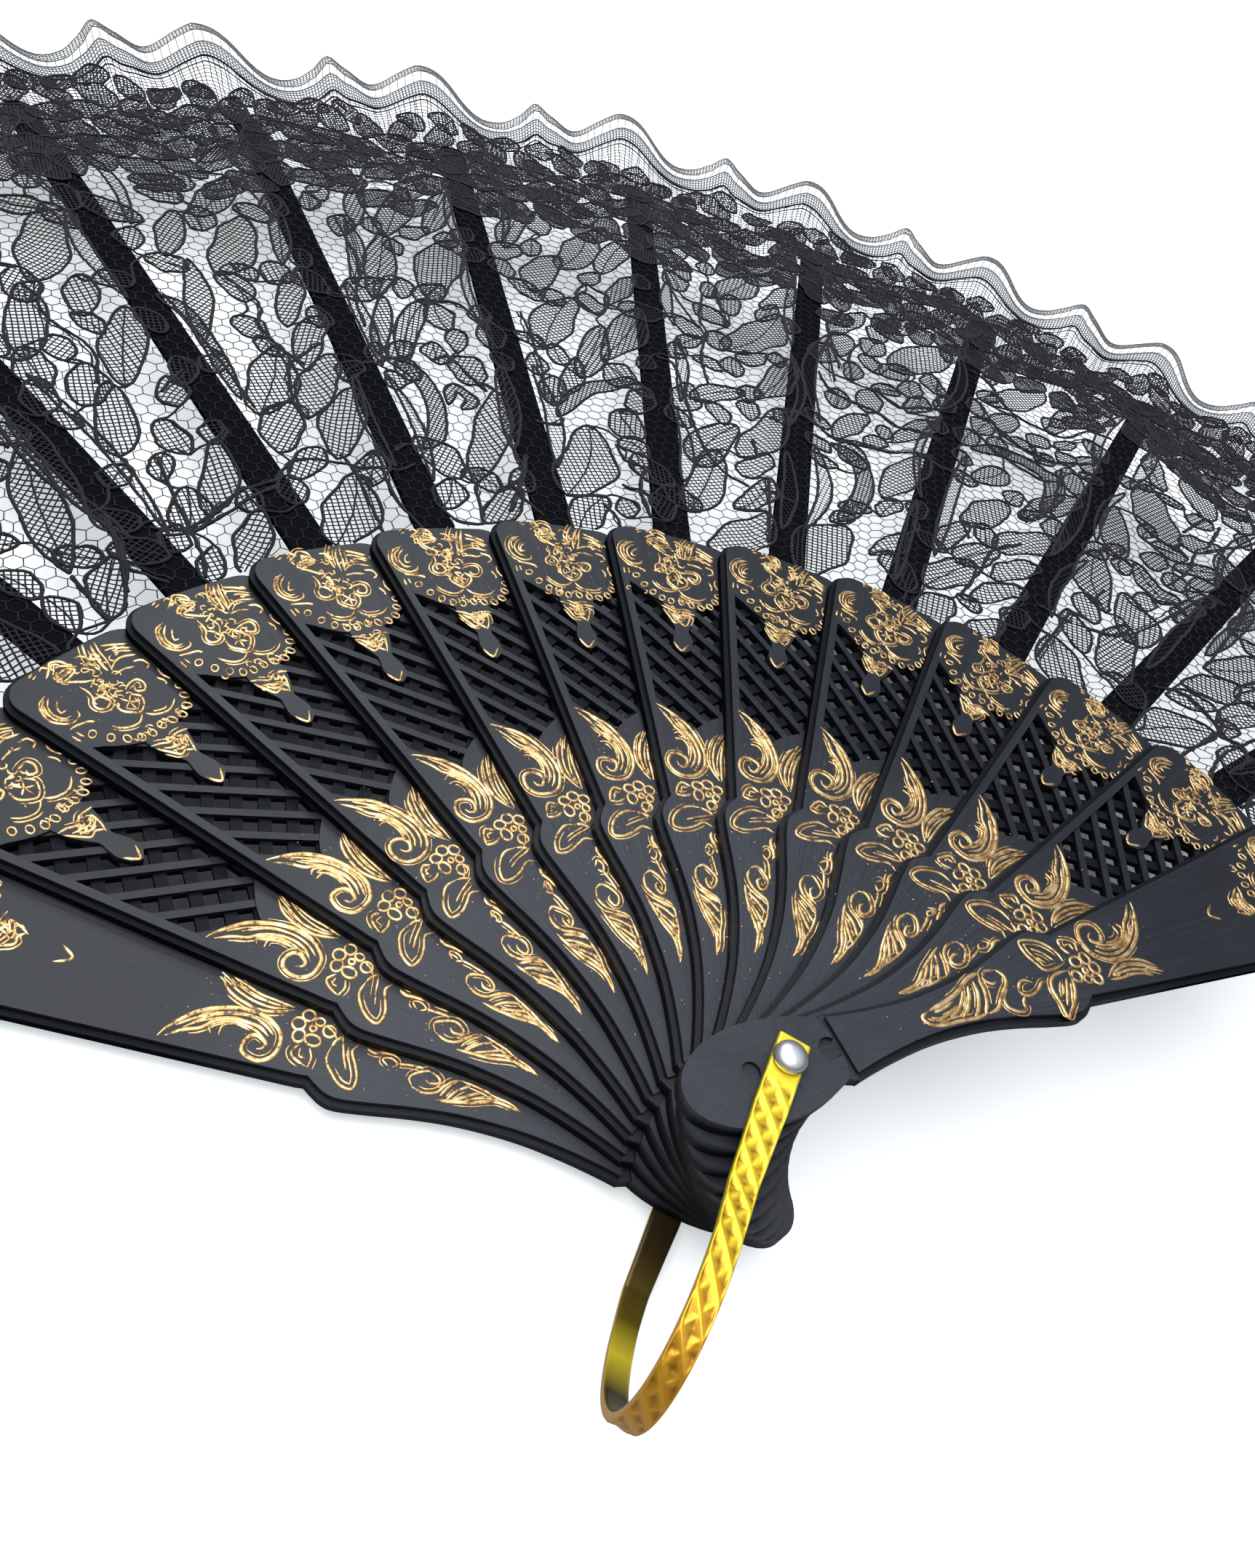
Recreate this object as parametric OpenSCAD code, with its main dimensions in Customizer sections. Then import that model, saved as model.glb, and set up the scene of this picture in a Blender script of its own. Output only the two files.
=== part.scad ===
// Folding hand fan: pierced sticks on one rivet, a lace leaf, and a bail loop.
// Origin: centre of the rivet's back face, the lowest point when the fan lies
// down.  +Z out of the front face along the rivet, +Y along the middle of the
// open fan, +X to the right.
// Each stick lies flat in its own layer of the stack.
// Name endings: _r radius from the pivot, _d diameter, _w width, _hw half width,
// _t thickness or height in Z.  corner_r is the corner's own radius.

/* [Opening] */
// Angle between neighbouring sticks when the fan is open (degrees)
spread = 10.9; // [9:0.1:11.2]
// Direction the bail loop hangs in, measured from +X (degrees)
loop_dir = 239; // [200:1:330]

/* [Stack] */
// Height of one stick layer in the stack
pitch = 2.0; // [1.95:0.05:2.3]
// Free gap between two neighbouring heads
gap = 0.06; // [0.04:0.01:0.10]
// Height of the blade's face
blade_t = 1.85; // [1.7:0.05:1.85]
// Height of the ledge that runs round the blade's face
ledge_t = 1.1; // [0.95:0.05:1.25]
// Width of that ledge
ledge_w = 0.7; // [0.3:0.05:0.8]

/* [Stick outline] */
// Distance from the pivot to the top edge of the blade
blade_r = 99; // [97:0.5:102]
// Half of the blade's included angle (degrees)
blade_half = 6.4; // [6.0:0.1:6.8]
// Radius of the blade's top corners
corner_r = 4; // [3:0.25:5]
// Half width of the head
head_hw = 5.4; // [4.9:0.1:5.8]
// How far the head's tail reaches behind the pivot
tail_len = 12.2; // [11:0.1:13.5]
// Half width of the neck at its narrowest
neck_hw = 2.85; // [2.4:0.05:3.1]
// Half width of the swell below the waist
swell_hw = 6.2; // [5.7:0.05:6.5]
// Half width at the waist notch
waist_hw = 4.85; // [4.6:0.05:5.0]

/* [Ribs] */
// Distance from the pivot to the end of an inner rib
rib_r = 222; // [210:1:226]
// Half width of a rib where it leaves the blade
rib_hw0 = 3.05; // [2.5:0.05:3.5]
// Half width of a rib at its end
rib_hw1 = 2.7; // [2.2:0.05:3.0]
// How far an inner rib leans clockwise off its blade's middle line (degrees)
rib_lean = 0.45; // [0:0.05:0.6]
// Thickness of a rib
rib_t = 0.9; // [0.75:0.05:0.95]
// Half width of a guard's upper strip at its end
guard_hw1 = 4.3; // [3.6:0.1:5]

/* [Window] */
// Spacing of the lattice bars, across the bars
bar_pitch = 3.3; // [3.0:0.1:3.8]
// Width of a raised bar
bar_hi_w = 1.0; // [0.6:0.05:1.1]
// Width of a low bar
bar_lo_w = 1.5; // [0.8:0.05:1.7]
// Width of the solid rim beside the window
rim_w = 1.8; // [1.4:0.1:2.2]

/* [Leaf] */
// Inner radius of the lace leaf
leaf_r0 = 99.6; // [99.3:0.1:104]
// Outer radius of the lace leaf, without its scallops
leaf_r1 = 240; // [230:1:242]
// Height of the scallops on the leaf's outer edge
scallop = 4; // [1:0.5:5]
// Thickness of the leaf's closed solid
leaf_t = 0.35; // [0.25:0.05:0.4]

/* [Rivet and loop] */
// Diameter of the rivet's shaft
pin_d = 2.4; // [2.0:0.1:2.8]
// Radial running clearance round the shaft
clear = 0.06; // [0.03:0.01:0.09]
// Diameter of the round front cap
cap_d = 3.7; // [3.4:0.1:4.4]
// Width of the loop's band
band_w = 3.5; // [3.4:0.1:4.5]
// Thickness of the loop's band
band_t = 1.0; // [0.8:0.1:1.2]
// Reach of the loop from the pivot to the middle of its bend
loop_len = 35; // [30:0.5:45]
// How far the bend leans towards the front face
loop_lean = 7; // [0:0.5:9]

/* [Hidden] */
NODES = ["rear_guard", "stick_01", "stick_02", "stick_03", "stick_04",
         "stick_05", "stick_06", "stick_07", "stick_08", "stick_09",
         "stick_10", "stick_11", "stick_12", "front_guard",
         "leaf_panel_01", "leaf_panel_02", "leaf_panel_03", "leaf_panel_04",
         "leaf_panel_05", "leaf_panel_06", "leaf_panel_07", "leaf_panel_08",
         "leaf_panel_09", "leaf_panel_10", "leaf_panel_11", "leaf_panel_12",
         "leaf_panel_13", "pivot_pin", "pearl_cap", "bail_loop"];
node = "all";

stick_color = "#26272c";
leaf_color = "#17181b";
pin_color = "#b9b9bd";
cap_color = "#e4e4e8";
loop_color = "#e8b81c";

last = 13;              // index of the front guard; 0 is the rear guard
head_t = pitch - gap;
bore_d = pin_d + 2 * clear;
flange_t = 0.8;         // the rivet's back flange
play = 0.06;            // gap from the band to the flange, to the front guard and to the cap
back_play = 0.04;       // gap from the band to the rear guard
back_z = flange_t + play + band_t + back_play;   // back face of the rear guard
stack_top = layer_z(last) + head_t;
band_front = stack_top + play + band_t;          // front face of the loop's front eye
below = 1;              // how far a cutter starts below what it cuts
cutter_h = 5;           // height of a cutter through one stick

function layer_z(k) = back_z + k * pitch;
function dir_of(k) = 90 + spread * (last / 2 - k);   // a stick's direction

// Point lists: reversed, and mirrored to the other side in reverse order
function reversed(points) = [for (i = [len(points) - 1:-1:0]) points[i]];
function mirrored(points) = [for (p = reversed(points)) [-p[0], p[1]]];

function polar(radius, angle) = radius * [cos(angle), sin(angle)];
function from_middle(radius, angle) = radius * [sin(angle), cos(angle)];

// Catmull-Rom curve through control points, ends included
function spline(before, start, end, after, t) = 0.5 * (2 * start + (end - before) * t
    + (2 * before - 5 * start + 4 * end - after) * t * t
    + (3 * start - before - 3 * end + after) * t * t * t);
function smooth(points, steps) = let(top = len(points) - 1) concat(
    [for (i = [0:top - 1], j = [0:steps - 1])
        spline(points[max(i - 1, 0)], points[i], points[i + 1], points[min(i + 2, top)],
               j / steps)],
    [points[top]]);

// ---- Stick outlines: X across the stick, Y outwards from the pivot ----

// Right edge of the neck, from the shoulder to below the waist: [half width, y]
neck_line = [[4.0, 7.7], [3.55, 10.5], [3.1, 14.5], [neck_hw, 19],
             [neck_hw + 0.15, 23.5], [3.5, 28], [4.4, 32.5], [5.5, 36.8],
             [swell_hw, 40], [swell_hw - 0.1, 41.6], [5.4, 43.1]];
waist_y = 44;
side_ys = [44.9, 60, 75];       // stations on the blade's straight side

// Centre of the rounded top corner, tangent to the side and to the top arc
corner_mid_r = blade_r - corner_r;
corner_angle = blade_half - asin(corner_r / corner_mid_r);

function corner(inset) = let(first = -blade_half, sweep = 90 - corner_angle - first)
    [for (i = [0:8]) from_middle(corner_mid_r, corner_angle)
        + polar(corner_r - inset, first + sweep * i / 8)];
function blade_side(inset) = concat(
    [for (p = smooth(neck_line, 5)) [p[0] - inset, p[1]]],
    [[waist_hw - inset, waist_y]],
    [for (y = side_ys) [y * tan(blade_half) - inset / cos(blade_half), y]],
    corner(inset));
function blade_top(inset) =
    [for (i = [1:5]) from_middle(blade_r - inset, corner_angle * (1 - i / 3))];
function blade_pts(inset) =
    concat(blade_side(inset), blade_top(inset), mirrored(blade_side(inset)));

// Head: two half ovals that meet at their widest, behind the pivot
oval_back = 3;          // from the pivot back to the widest place
oval_len = 12.3;        // half length of the outward oval
head_ys = [-1.5, 0, 1.5, 3, 4.3, 5.4, 6.4];     // stations on the outward oval
head_end = [[1.9, 6.9], [0, 7.1], [-1.9, 6.9]];
head_side = concat(
    [for (i = [1:12]) let(angle = 90 * i / 12)
        [head_hw * sin(angle), -oval_back - (tail_len - oval_back) * cos(angle)]],
    [for (y = head_ys) [head_hw * sqrt(1 - pow((y + oval_back) / oval_len, 2)), y]]);
head_pts = concat([[0, -tail_len]], head_side, head_end, mirrored(head_side));

// Piece that joins the head to the neck: [x, y]
root_pts = [[-3.95, 7.8], [-3.3, 6.1], [3.3, 6.1], [3.95, 7.8]];

// Rib or guard strip with a rounded end; it starts inside the blade
strip_y = blade_r - 5;
guard_hw0 = 5.2;
guard_r = rib_r + 2;
front_strip_t = 1.6;
function strip_pts(start_hw, end_hw, end_r) = concat(
    [[start_hw, strip_y]],
    [for (i = [0:12]) [0, end_r - end_hw] + polar(end_hw, 180 * i / 12)],
    [[-start_hw, strip_y]]);

// ---- Window: cusped lower edge, pendant hanging from the upper edge ----

function low_edge(x) = 55.6 + 5.6 * pow(abs(x) / 6.3, 0.62);
function high_edge(x) = 81.5 + 0.065 * x * x;
function rim_x(y, grow) = y * tan(blade_half) - (rim_w - grow) / cos(blade_half);
low_xs = [0.25, 0.7, 1.5, 2.6, 4, 5.2];
rim_low_y = 61.4;
rim_ys = [70, 78, 85];
high_xs = [6.6, 5.4, 4.2, 3.2];
pendant_tip_y = 71.7;
// Right edge of the pendant, downwards: [half width, y]
pendant = [[2.6, high_edge(2.6)], [2.45, 80.3], [1.7, 78.2], [1.05, 76.7],
           [1.35, 75.2], [1.5, 74.0], [1.05, 72.5]];

// Right half of the window, and the whole window, made larger by grow
function window_right(grow) = concat(
    [for (x = low_xs) [x, low_edge(x) - grow]],
    [for (y = concat([rim_low_y - grow], rim_ys)) [rim_x(y, grow), y]],
    [for (x = high_xs) [x, high_edge(x) + grow]],
    [for (p = smooth(pendant, 3)) [p[0] - grow, p[1] + grow]]);
function window_pts(grow) = concat([[0, low_edge(0) - grow]], window_right(grow),
    [[0, pendant_tip_y + grow]], mirrored(window_right(grow)));

bar_z = 0.25;           // underside of all the bars
bar_len = 32;
bar_hi_top = blade_t - 0.3;
bar_lo_top = 1.05;
bar_hi_y = 70;          // where a middle bar of each set crosses the middle line
bar_lo_y = 69.67;
lattice_bite = 0.2;     // how far the lattice runs into the blade
clip_h = 3;

// One set of parallel bars, sloping at angle
module bars(width, top, angle, middle_y) {
    step = bar_pitch * sqrt(2);
    for (i = [-4:5])
        translate([0, middle_y + i * step, 0]) rotate([0, 0, angle])
            translate([-bar_len / 2, -width / 2, bar_z])
                cube([bar_len, width, top - bar_z]);
}
module window_lattice() {
    intersection() {
        union() {
            bars(bar_hi_w, bar_hi_top, -45, bar_hi_y);
            bars(bar_lo_w, bar_lo_top, 45, bar_lo_y);
        }
        linear_extrude(clip_h) polygon(window_pts(lattice_bite));
    }
}

// ---- Sticks and guards ----

// Round recess in the head's front face
module recess(x, y, diameter, depth) {
    translate([x, y, head_t - depth]) cylinder(d = diameter, h = 2, $fn = 32);
}
module head() {
    difference() {
        linear_extrude(head_t) polygon(head_pts);
        translate([0, 0, -below]) cylinder(d = bore_d, h = cutter_h, $fn = 48);
        recess(x = -0.4, y = -4.0, diameter = 2.1, depth = 0.4);
        recess(x = 0, y = 6.0, diameter = 2.6, depth = 0.5);
    }
}
module neck_root() {
    linear_extrude(ledge_t + 0.3) polygon(root_pts);
}
module blade() {
    linear_extrude(ledge_t) polygon(blade_pts(0));
    linear_extrude(blade_t) polygon(blade_pts(ledge_w));
}
// Turns a stick to its direction and lifts it to its layer
module place(k) {
    rotate([0, 0, dir_of(k) - 90]) translate([0, 0, layer_z(k)]) children();
}
module stick(k) {
    color(stick_color) place(k) union() {
        head();
        neck_root();
        difference() {
            blade();
            translate([0, 0, -below]) linear_extrude(cutter_h) polygon(window_pts(0));
        }
        window_lattice();
        rotate([0, 0, -rib_lean]) linear_extrude(rib_t)
            polygon(strip_pts(rib_hw0, rib_hw1, rib_r));
    }
}
module guard(k, strip_t) {
    color(stick_color) place(k) union() {
        head();
        neck_root();
        blade();
        linear_extrude(strip_t) polygon(strip_pts(guard_hw0, guard_hw1, guard_r));
    }
}

// ---- Leaf ----

leaf_lap = 0.75;        // degrees a panel reaches past the middle of its rib
leaf_lift = 0.02;       // gap between rib and leaf

// One gap of the leaf, clockwise from stick k, with two scallops
module leaf_panel(k) {
    first = dir_of(k) + leaf_lap - spread;
    outer = [for (i = [0:20])
        polar(leaf_r1 + scallop * abs(sin(360 * i / 20)), first + spread * i / 20)];
    inner = [for (i = [6:-1:0]) polar(leaf_r0, first + spread * i / 6)];
    color(leaf_color) translate([0, 0, layer_z(k) + rib_t + leaf_lift])
        linear_extrude(leaf_t) polygon(concat(outer, inner));
}

// ---- Rivet and loop ----

flange_d = 4.0;
shaft_z = 0.5;          // the shaft starts inside the flange
shaft_top = stack_top + band_t + 0.7;
cap_z = band_front + play;
cap_bevel = 0.15;
cap_rim = 0.35;         // height where the dome starts
cap_dome = 1.15;        // height of the dome
cap_bore = 0.75;        // depth of the cap's bore

module pivot_pin() {
    color(pin_color) {
        translate([0, 0, shaft_z]) cylinder(d = pin_d, h = shaft_top - shaft_z, $fn = 48);
        cylinder(d = flange_d, h = flange_t, $fn = 48);
    }
}
module pearl_cap() {
    radius = cap_d / 2;
    profile = concat(
        [[0, 0], [radius - cap_bevel, 0], [radius, cap_bevel], [radius, cap_rim]],
        [for (i = [1:8]) let(angle = 90 * i / 8)
            [radius * cos(angle), cap_rim + cap_dome * sin(angle)]]);
    color(cap_color) difference() {
        translate([0, 0, cap_z]) rotate_extrude($fn = 64) polygon(profile);
        translate([0, 0, cap_z - below])
            cylinder(d = pin_d + 0.04, h = below + cap_bore, $fn = 48);
    }
}
// Bail loop: a flat band bent round the stack, with an eye at each end
module bail_loop() {
    front_z = band_front - band_t / 2;
    rear_z = back_z - back_play - band_t / 2;
    middle_z = (front_z + rear_z) / 2;
    half_h = (front_z - rear_z) / 2;
    tail_x = -2.7;      // ends of the band, past the pivot
    bend_x = 15;        // where the straight arms meet the bend
    bend_len = loop_len - bend_x;
    // Middle line of the bend, [outwards, z], and its unit normal
    function bend(t) = [bend_x + bend_len * sin(t),
                        middle_z + half_h * cos(t) + loop_lean * sin(t)];
    function normal(t) =
        let(v = [half_h * sin(t) - loop_lean * cos(t), bend_len * cos(t)]) v / norm(v);
    function rail(offset) = concat([[tail_x, front_z + offset]],
        [for (i = [0:36]) bend(5 * i) + offset * normal(5 * i)],
        [[tail_x, rear_z - offset]]);
    color(loop_color) rotate([0, 0, loop_dir]) difference() {
        rotate([90, 0, 0]) linear_extrude(band_w, center = true)
            polygon(concat(rail(band_t / 2), reversed(rail(-band_t / 2))));
        translate([0, 0, -below]) cylinder(d = bore_d, h = stack_top + 8, $fn = 48);
    }
}

function on(name) = node == "all" || node == name;

if (on("rear_guard")) guard(0, rib_t);
if (on("stick_01")) stick(1);
if (on("stick_02")) stick(2);
if (on("stick_03")) stick(3);
if (on("stick_04")) stick(4);
if (on("stick_05")) stick(5);
if (on("stick_06")) stick(6);
if (on("stick_07")) stick(7);
if (on("stick_08")) stick(8);
if (on("stick_09")) stick(9);
if (on("stick_10")) stick(10);
if (on("stick_11")) stick(11);
if (on("stick_12")) stick(12);
if (on("front_guard")) guard(last, front_strip_t);
if (on("leaf_panel_01")) leaf_panel(0);
if (on("leaf_panel_02")) leaf_panel(1);
if (on("leaf_panel_03")) leaf_panel(2);
if (on("leaf_panel_04")) leaf_panel(3);
if (on("leaf_panel_05")) leaf_panel(4);
if (on("leaf_panel_06")) leaf_panel(5);
if (on("leaf_panel_07")) leaf_panel(6);
if (on("leaf_panel_08")) leaf_panel(7);
if (on("leaf_panel_09")) leaf_panel(8);
if (on("leaf_panel_10")) leaf_panel(9);
if (on("leaf_panel_11")) leaf_panel(10);
if (on("leaf_panel_12")) leaf_panel(11);
if (on("leaf_panel_13")) leaf_panel(12);
if (on("pivot_pin")) pivot_pin();
if (on("pearl_cap")) pearl_cap();
if (on("bail_loop")) bail_loop();
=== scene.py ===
"""An open folding fan: pierced plastic sticks with gold ornament, and a black lace leaf.

The fan lies open over the XY plane. The rivet stands on Z at the origin. Stick 0, the rear
guard, is the lowest and points towards -X; each next stick lies one PITCH higher and SPREAD
degrees clockwise, up to stick 13, the front guard, towards +X. The leaf joins their outer
parts. A gold band loops round the rivet end and reaches out below it, towards -X and -Y.
"""
import itertools
import math
from collections import namedtuple

import bmesh
import bpy
import numpy as np
from mathutils import Matrix, Vector


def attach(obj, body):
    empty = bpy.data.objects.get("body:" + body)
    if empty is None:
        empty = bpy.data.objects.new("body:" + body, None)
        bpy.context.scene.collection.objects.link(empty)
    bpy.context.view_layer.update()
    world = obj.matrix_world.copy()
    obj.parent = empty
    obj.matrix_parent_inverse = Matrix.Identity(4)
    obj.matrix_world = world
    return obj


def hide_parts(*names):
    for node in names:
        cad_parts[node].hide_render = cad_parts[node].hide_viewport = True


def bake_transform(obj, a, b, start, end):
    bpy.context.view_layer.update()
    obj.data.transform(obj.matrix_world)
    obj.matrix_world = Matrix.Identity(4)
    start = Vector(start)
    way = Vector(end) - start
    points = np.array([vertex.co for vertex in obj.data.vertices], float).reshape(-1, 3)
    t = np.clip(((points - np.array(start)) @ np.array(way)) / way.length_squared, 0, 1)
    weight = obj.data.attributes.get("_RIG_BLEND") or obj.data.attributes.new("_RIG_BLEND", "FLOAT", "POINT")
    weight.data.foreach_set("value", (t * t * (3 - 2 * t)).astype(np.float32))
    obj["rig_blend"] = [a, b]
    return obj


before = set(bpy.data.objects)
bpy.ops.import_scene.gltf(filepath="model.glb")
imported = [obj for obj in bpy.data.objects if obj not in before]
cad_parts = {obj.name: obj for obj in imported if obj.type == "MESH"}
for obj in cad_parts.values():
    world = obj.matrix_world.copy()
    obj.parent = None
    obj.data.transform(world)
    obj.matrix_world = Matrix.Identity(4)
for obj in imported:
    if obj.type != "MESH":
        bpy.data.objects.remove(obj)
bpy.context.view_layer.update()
MM = 0.001

# Dimensions shared with the CAD, in mm and degrees
SPREAD = 10.9           # angle between neighbouring sticks
PITCH = 2.0             # rise from one stick to the next
LAST = 13               # number of the front guard, and of the gaps between sticks
BACK_Z = 1.9            # underside of the rear guard
BLADE_T = 1.85          # thickness of a stick's pierced blade
RIB_T = 0.9             # thickness of the rib under the leaf
BAND_T = 1.0            # loop band's thickness and width
BAND_W = 3.5
LOOP_DIR = 239.0        # direction in which the loop reaches out
LOOP_LEN = 35.0         # its reach from the rivet
LOOP_LEAN = 7.0         # how far its bend is pushed upwards
LOOP_D0 = 15.0          # where its bend begins
STACK_TOP = BACK_Z + LAST * PITCH + PITCH - 0.06
STICKS = ["rear_guard"] + ["stick_%02d" % i for i in range(1, LAST)] + ["front_guard"]


def angle_at(K):
    """Direction of stick K in radians; K may lie between sticks."""
    return np.radians(90 + SPREAD * (LAST / 2 - np.asarray(K, float)))


# ---------------------------------------------------------------- node helpers
BLACK = (0, 0, 0)
WHITE = (1, 1, 1)


class Shader:
    """Builds the node tree of a material or a world."""

    def __init__(self, owner):
        owner.use_nodes = True
        self.tree = owner.node_tree

    def plug(self, value, socket):
        """Link a socket or set a value; a colour gets its alpha, a vector socket drops it."""
        if isinstance(value, bpy.types.NodeSocket):
            self.tree.links.new(value, socket)
        elif isinstance(value, tuple):
            socket.default_value = (value + (1,))[:len(socket.default_value)]
        else:
            socket.default_value = value

    def node(self, kind, inputs=None, **settings):
        node = self.tree.nodes.new(kind)
        for name, value in settings.items():
            setattr(node, name, value)
        for key, value in (inputs or {}).items():
            self.plug(value, node.inputs[key])
        return node

    def math(self, operation, *operands):
        inputs = dict(enumerate(operands))
        return self.node("ShaderNodeMath", inputs, operation=operation).outputs[0]

    def plus(self, a, b):
        return self.math("ADD", a, b)

    def minus(self, a, b):
        return self.math("SUBTRACT", a, b)

    def times(self, a, b):
        return self.math("MULTIPLY", a, b)

    def mix(self, factor, a, b):
        inputs = {0: factor, 6: a, 7: b}
        return self.node("ShaderNodeMix", inputs, data_type="RGBA").outputs[2]

    def ramp(self, value, *stops):
        """Colour ramp; stops are (position, colour)."""
        node = self.node("ShaderNodeValToRGB", {"Fac": value})
        elements = node.color_ramp.elements
        while len(elements) < len(stops):
            elements.new(0.5)
        for element, (position, colour) in zip(elements, stops):
            element.position = position
            element.color = colour + (1,)
        return node.outputs["Color"]

    def smoothstep(self, value, start, end, low=0.0, high=1.0):
        inputs = dict(enumerate((value, start, end, low, high)))
        node = self.node("ShaderNodeMapRange", inputs, interpolation_type="SMOOTHSTEP")
        return node.outputs[0]

    def xyz(self, vector):
        return self.node("ShaderNodeSeparateXYZ", {0: vector}).outputs

    def incoming(self):
        return self.node("ShaderNodeNewGeometry").outputs["Incoming"]

    def camera_ray(self):
        return self.node("ShaderNodeLightPath").outputs["Is Camera Ray"]


class Material(Shader):
    """A Principled material."""

    def __init__(self, name):
        self.data = bpy.data.materials.new(name)
        super().__init__(self.data)

    def set(self, **inputs):
        """Set the surface's inputs, with _ for a space, and return the material."""
        surface = self.tree.nodes["Principled BSDF"]
        for name, value in inputs.items():
            self.plug(value, surface.inputs[name.replace("_", " ")])
        return self.data

    def place(self):
        return self.node("ShaderNodeTexCoord").outputs["Object"]

    def attribute(self, name):
        return self.node("ShaderNodeAttribute", attribute_name=name).outputs["Fac"]

    def noise(self, scale, detail=3.0, roughness=0.55, vector=None):
        inputs = {"Scale": scale, "Detail": detail, "Roughness": roughness,
                  "Vector": vector or self.place()}
        return self.node("ShaderNodeTexNoise", inputs).outputs["Fac"]

    def bump(self, height, strength, distance):
        inputs = {"Strength": strength, "Distance": distance, "Height": height}
        return self.node("ShaderNodeBump", inputs).outputs["Normal"]

    def radius(self, x, y):
        return self.math("SQRT", self.plus(self.times(x, x), self.times(y, y)))

    def polar(self, around, outward, upward):
        """Scaled coordinates: angle about the rivet, radius and height."""
        x, y, z = self.xyz(self.place())
        angle = self.math("ARCTAN2", y, x)
        return self.node("ShaderNodeCombineXYZ", {
            0: self.times(angle, around),
            1: self.times(self.radius(x, y), outward),
            2: self.times(z, upward)}).outputs[0]


# ---------------------------------------------------------------- materials
def black_plastic():
    m = Material("black_plastic")
    streak = m.noise(scale=1.0, detail=6.0, roughness=0.7, vector=m.polar(130.0, 60.0, 300.0))
    fine = m.noise(scale=1.0, detail=4.0, roughness=0.65, vector=m.polar(420.0, 150.0, 600.0))
    cloud = m.noise(scale=60.0, detail=4.0, roughness=0.6)
    grain = m.noise(scale=420.0, detail=4.0, roughness=0.7)
    x, y, z = m.xyz(m.place())
    radius = m.radius(x, y)

    colour = m.ramp(cloud, (0.3, (0.0065, 0.0078, 0.0115)), (0.72, (0.0125, 0.0155, 0.0235)))
    scratches = m.ramp(fine, (0.60, BLACK), (0.74, WHITE))
    colour = m.mix(m.times(scratches, 0.22), colour, (0.06, 0.064, 0.074))
    # painted sheen: pale blue-grey streaks along the brushed grain
    streak_sheen = m.ramp(streak, (0.42, BLACK), (0.72, (0.6, 0.6, 0.6)))
    colour = m.mix(streak_sheen, colour, (0.030, 0.0355, 0.048))
    rib = m.math("GREATER_THAN", radius, 0.0995)
    colour = m.mix(m.times(rib, 0.75), colour, (0.003, 0.003, 0.0035))
    # painted shade: every stick's top face is paler than what lies lower in its pitch (walls, ledges, lower
    # bars)
    level = m.math("MODULO", m.minus(z, BACK_Z * MM), PITCH * MM)
    low = m.smoothstep(level, 0.00068, 0.00182, low=1.0, high=0.0)
    colour = m.mix(m.times(low, 0.88), colour, (0.0018, 0.0018, 0.0022))
    # painted sheen: it is paler near the rivet and darkens away from it
    far = m.smoothstep(radius, 0.034, 0.066)
    colour = m.mix(m.times(far, 0.6), colour, (0.0055, 0.0062, 0.0082))

    specular = m.minus(m.minus(0.46, m.times(far, 0.16)),
                       m.times(m.math("MAXIMUM", low, rib), 0.33))
    roughness = m.plus(m.plus(m.times(cloud, 0.16), m.times(streak, 0.20)), 0.27)
    relief = m.plus(m.times(streak, 0.6), m.plus(m.times(fine, 0.35), m.times(grain, 0.35)))
    return m.set(Base_Color=colour, Specular_IOR_Level=specular, Roughness=roughness,
                 Normal=m.bump(relief, strength=0.6, distance=0.00012), IOR=1.5)


def gold_print():
    """Foil on raised lines, broken in places, with painted shade: bright on the crest, brown at the foot."""
    m = Material("gold_print")
    ridge = m.attribute("ridge")
    patchy = m.noise(scale=700.0, detail=3.0, roughness=0.6)
    fine = m.noise(scale=2300.0, detail=2.0, roughness=0.6)
    bright = m.ramp(patchy, (0.30, (0.33, 0.18, 0.066)), (0.50, (0.58, 0.365, 0.15)),
                    (0.70, (0.88, 0.66, 0.36)))
    # painted shade: the colour runs from dark brown at each line's foot to the foil's colour on its crest
    crest = m.math("MINIMUM", m.times(ridge, 1.25), 1.0)
    gold = m.mix(crest, (0.16, 0.085, 0.03), bright)
    both = m.plus(m.times(patchy, 0.5), m.times(fine, 0.5))
    gap = m.times(m.ramp(both, (0.40, WHITE), (0.455, BLACK)), 0.85)
    return m.set(Base_Color=m.mix(gap, gold, (0.035, 0.027, 0.02)),
                 Metallic=m.minus(0.92, m.times(gap, 0.8)),
                 Roughness=m.plus(0.26, m.times(fine, 0.25)),
                 Normal=m.bump(fine, strength=0.5, distance=0.00006))


def thread(name, scale, dark, pale, **surface):
    """Thread mottled between two colours, with a fine fibrous bump."""
    m = Material(name)
    mottle = m.noise(scale=scale, detail=2.0)
    fibres = m.noise(scale=5200.0, detail=2.0)
    return m.set(Base_Color=m.ramp(mottle, (0.3, dark), (0.7, pale)),
                 Normal=m.bump(fibres, strength=0.6, distance=0.00005), **surface)


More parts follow.
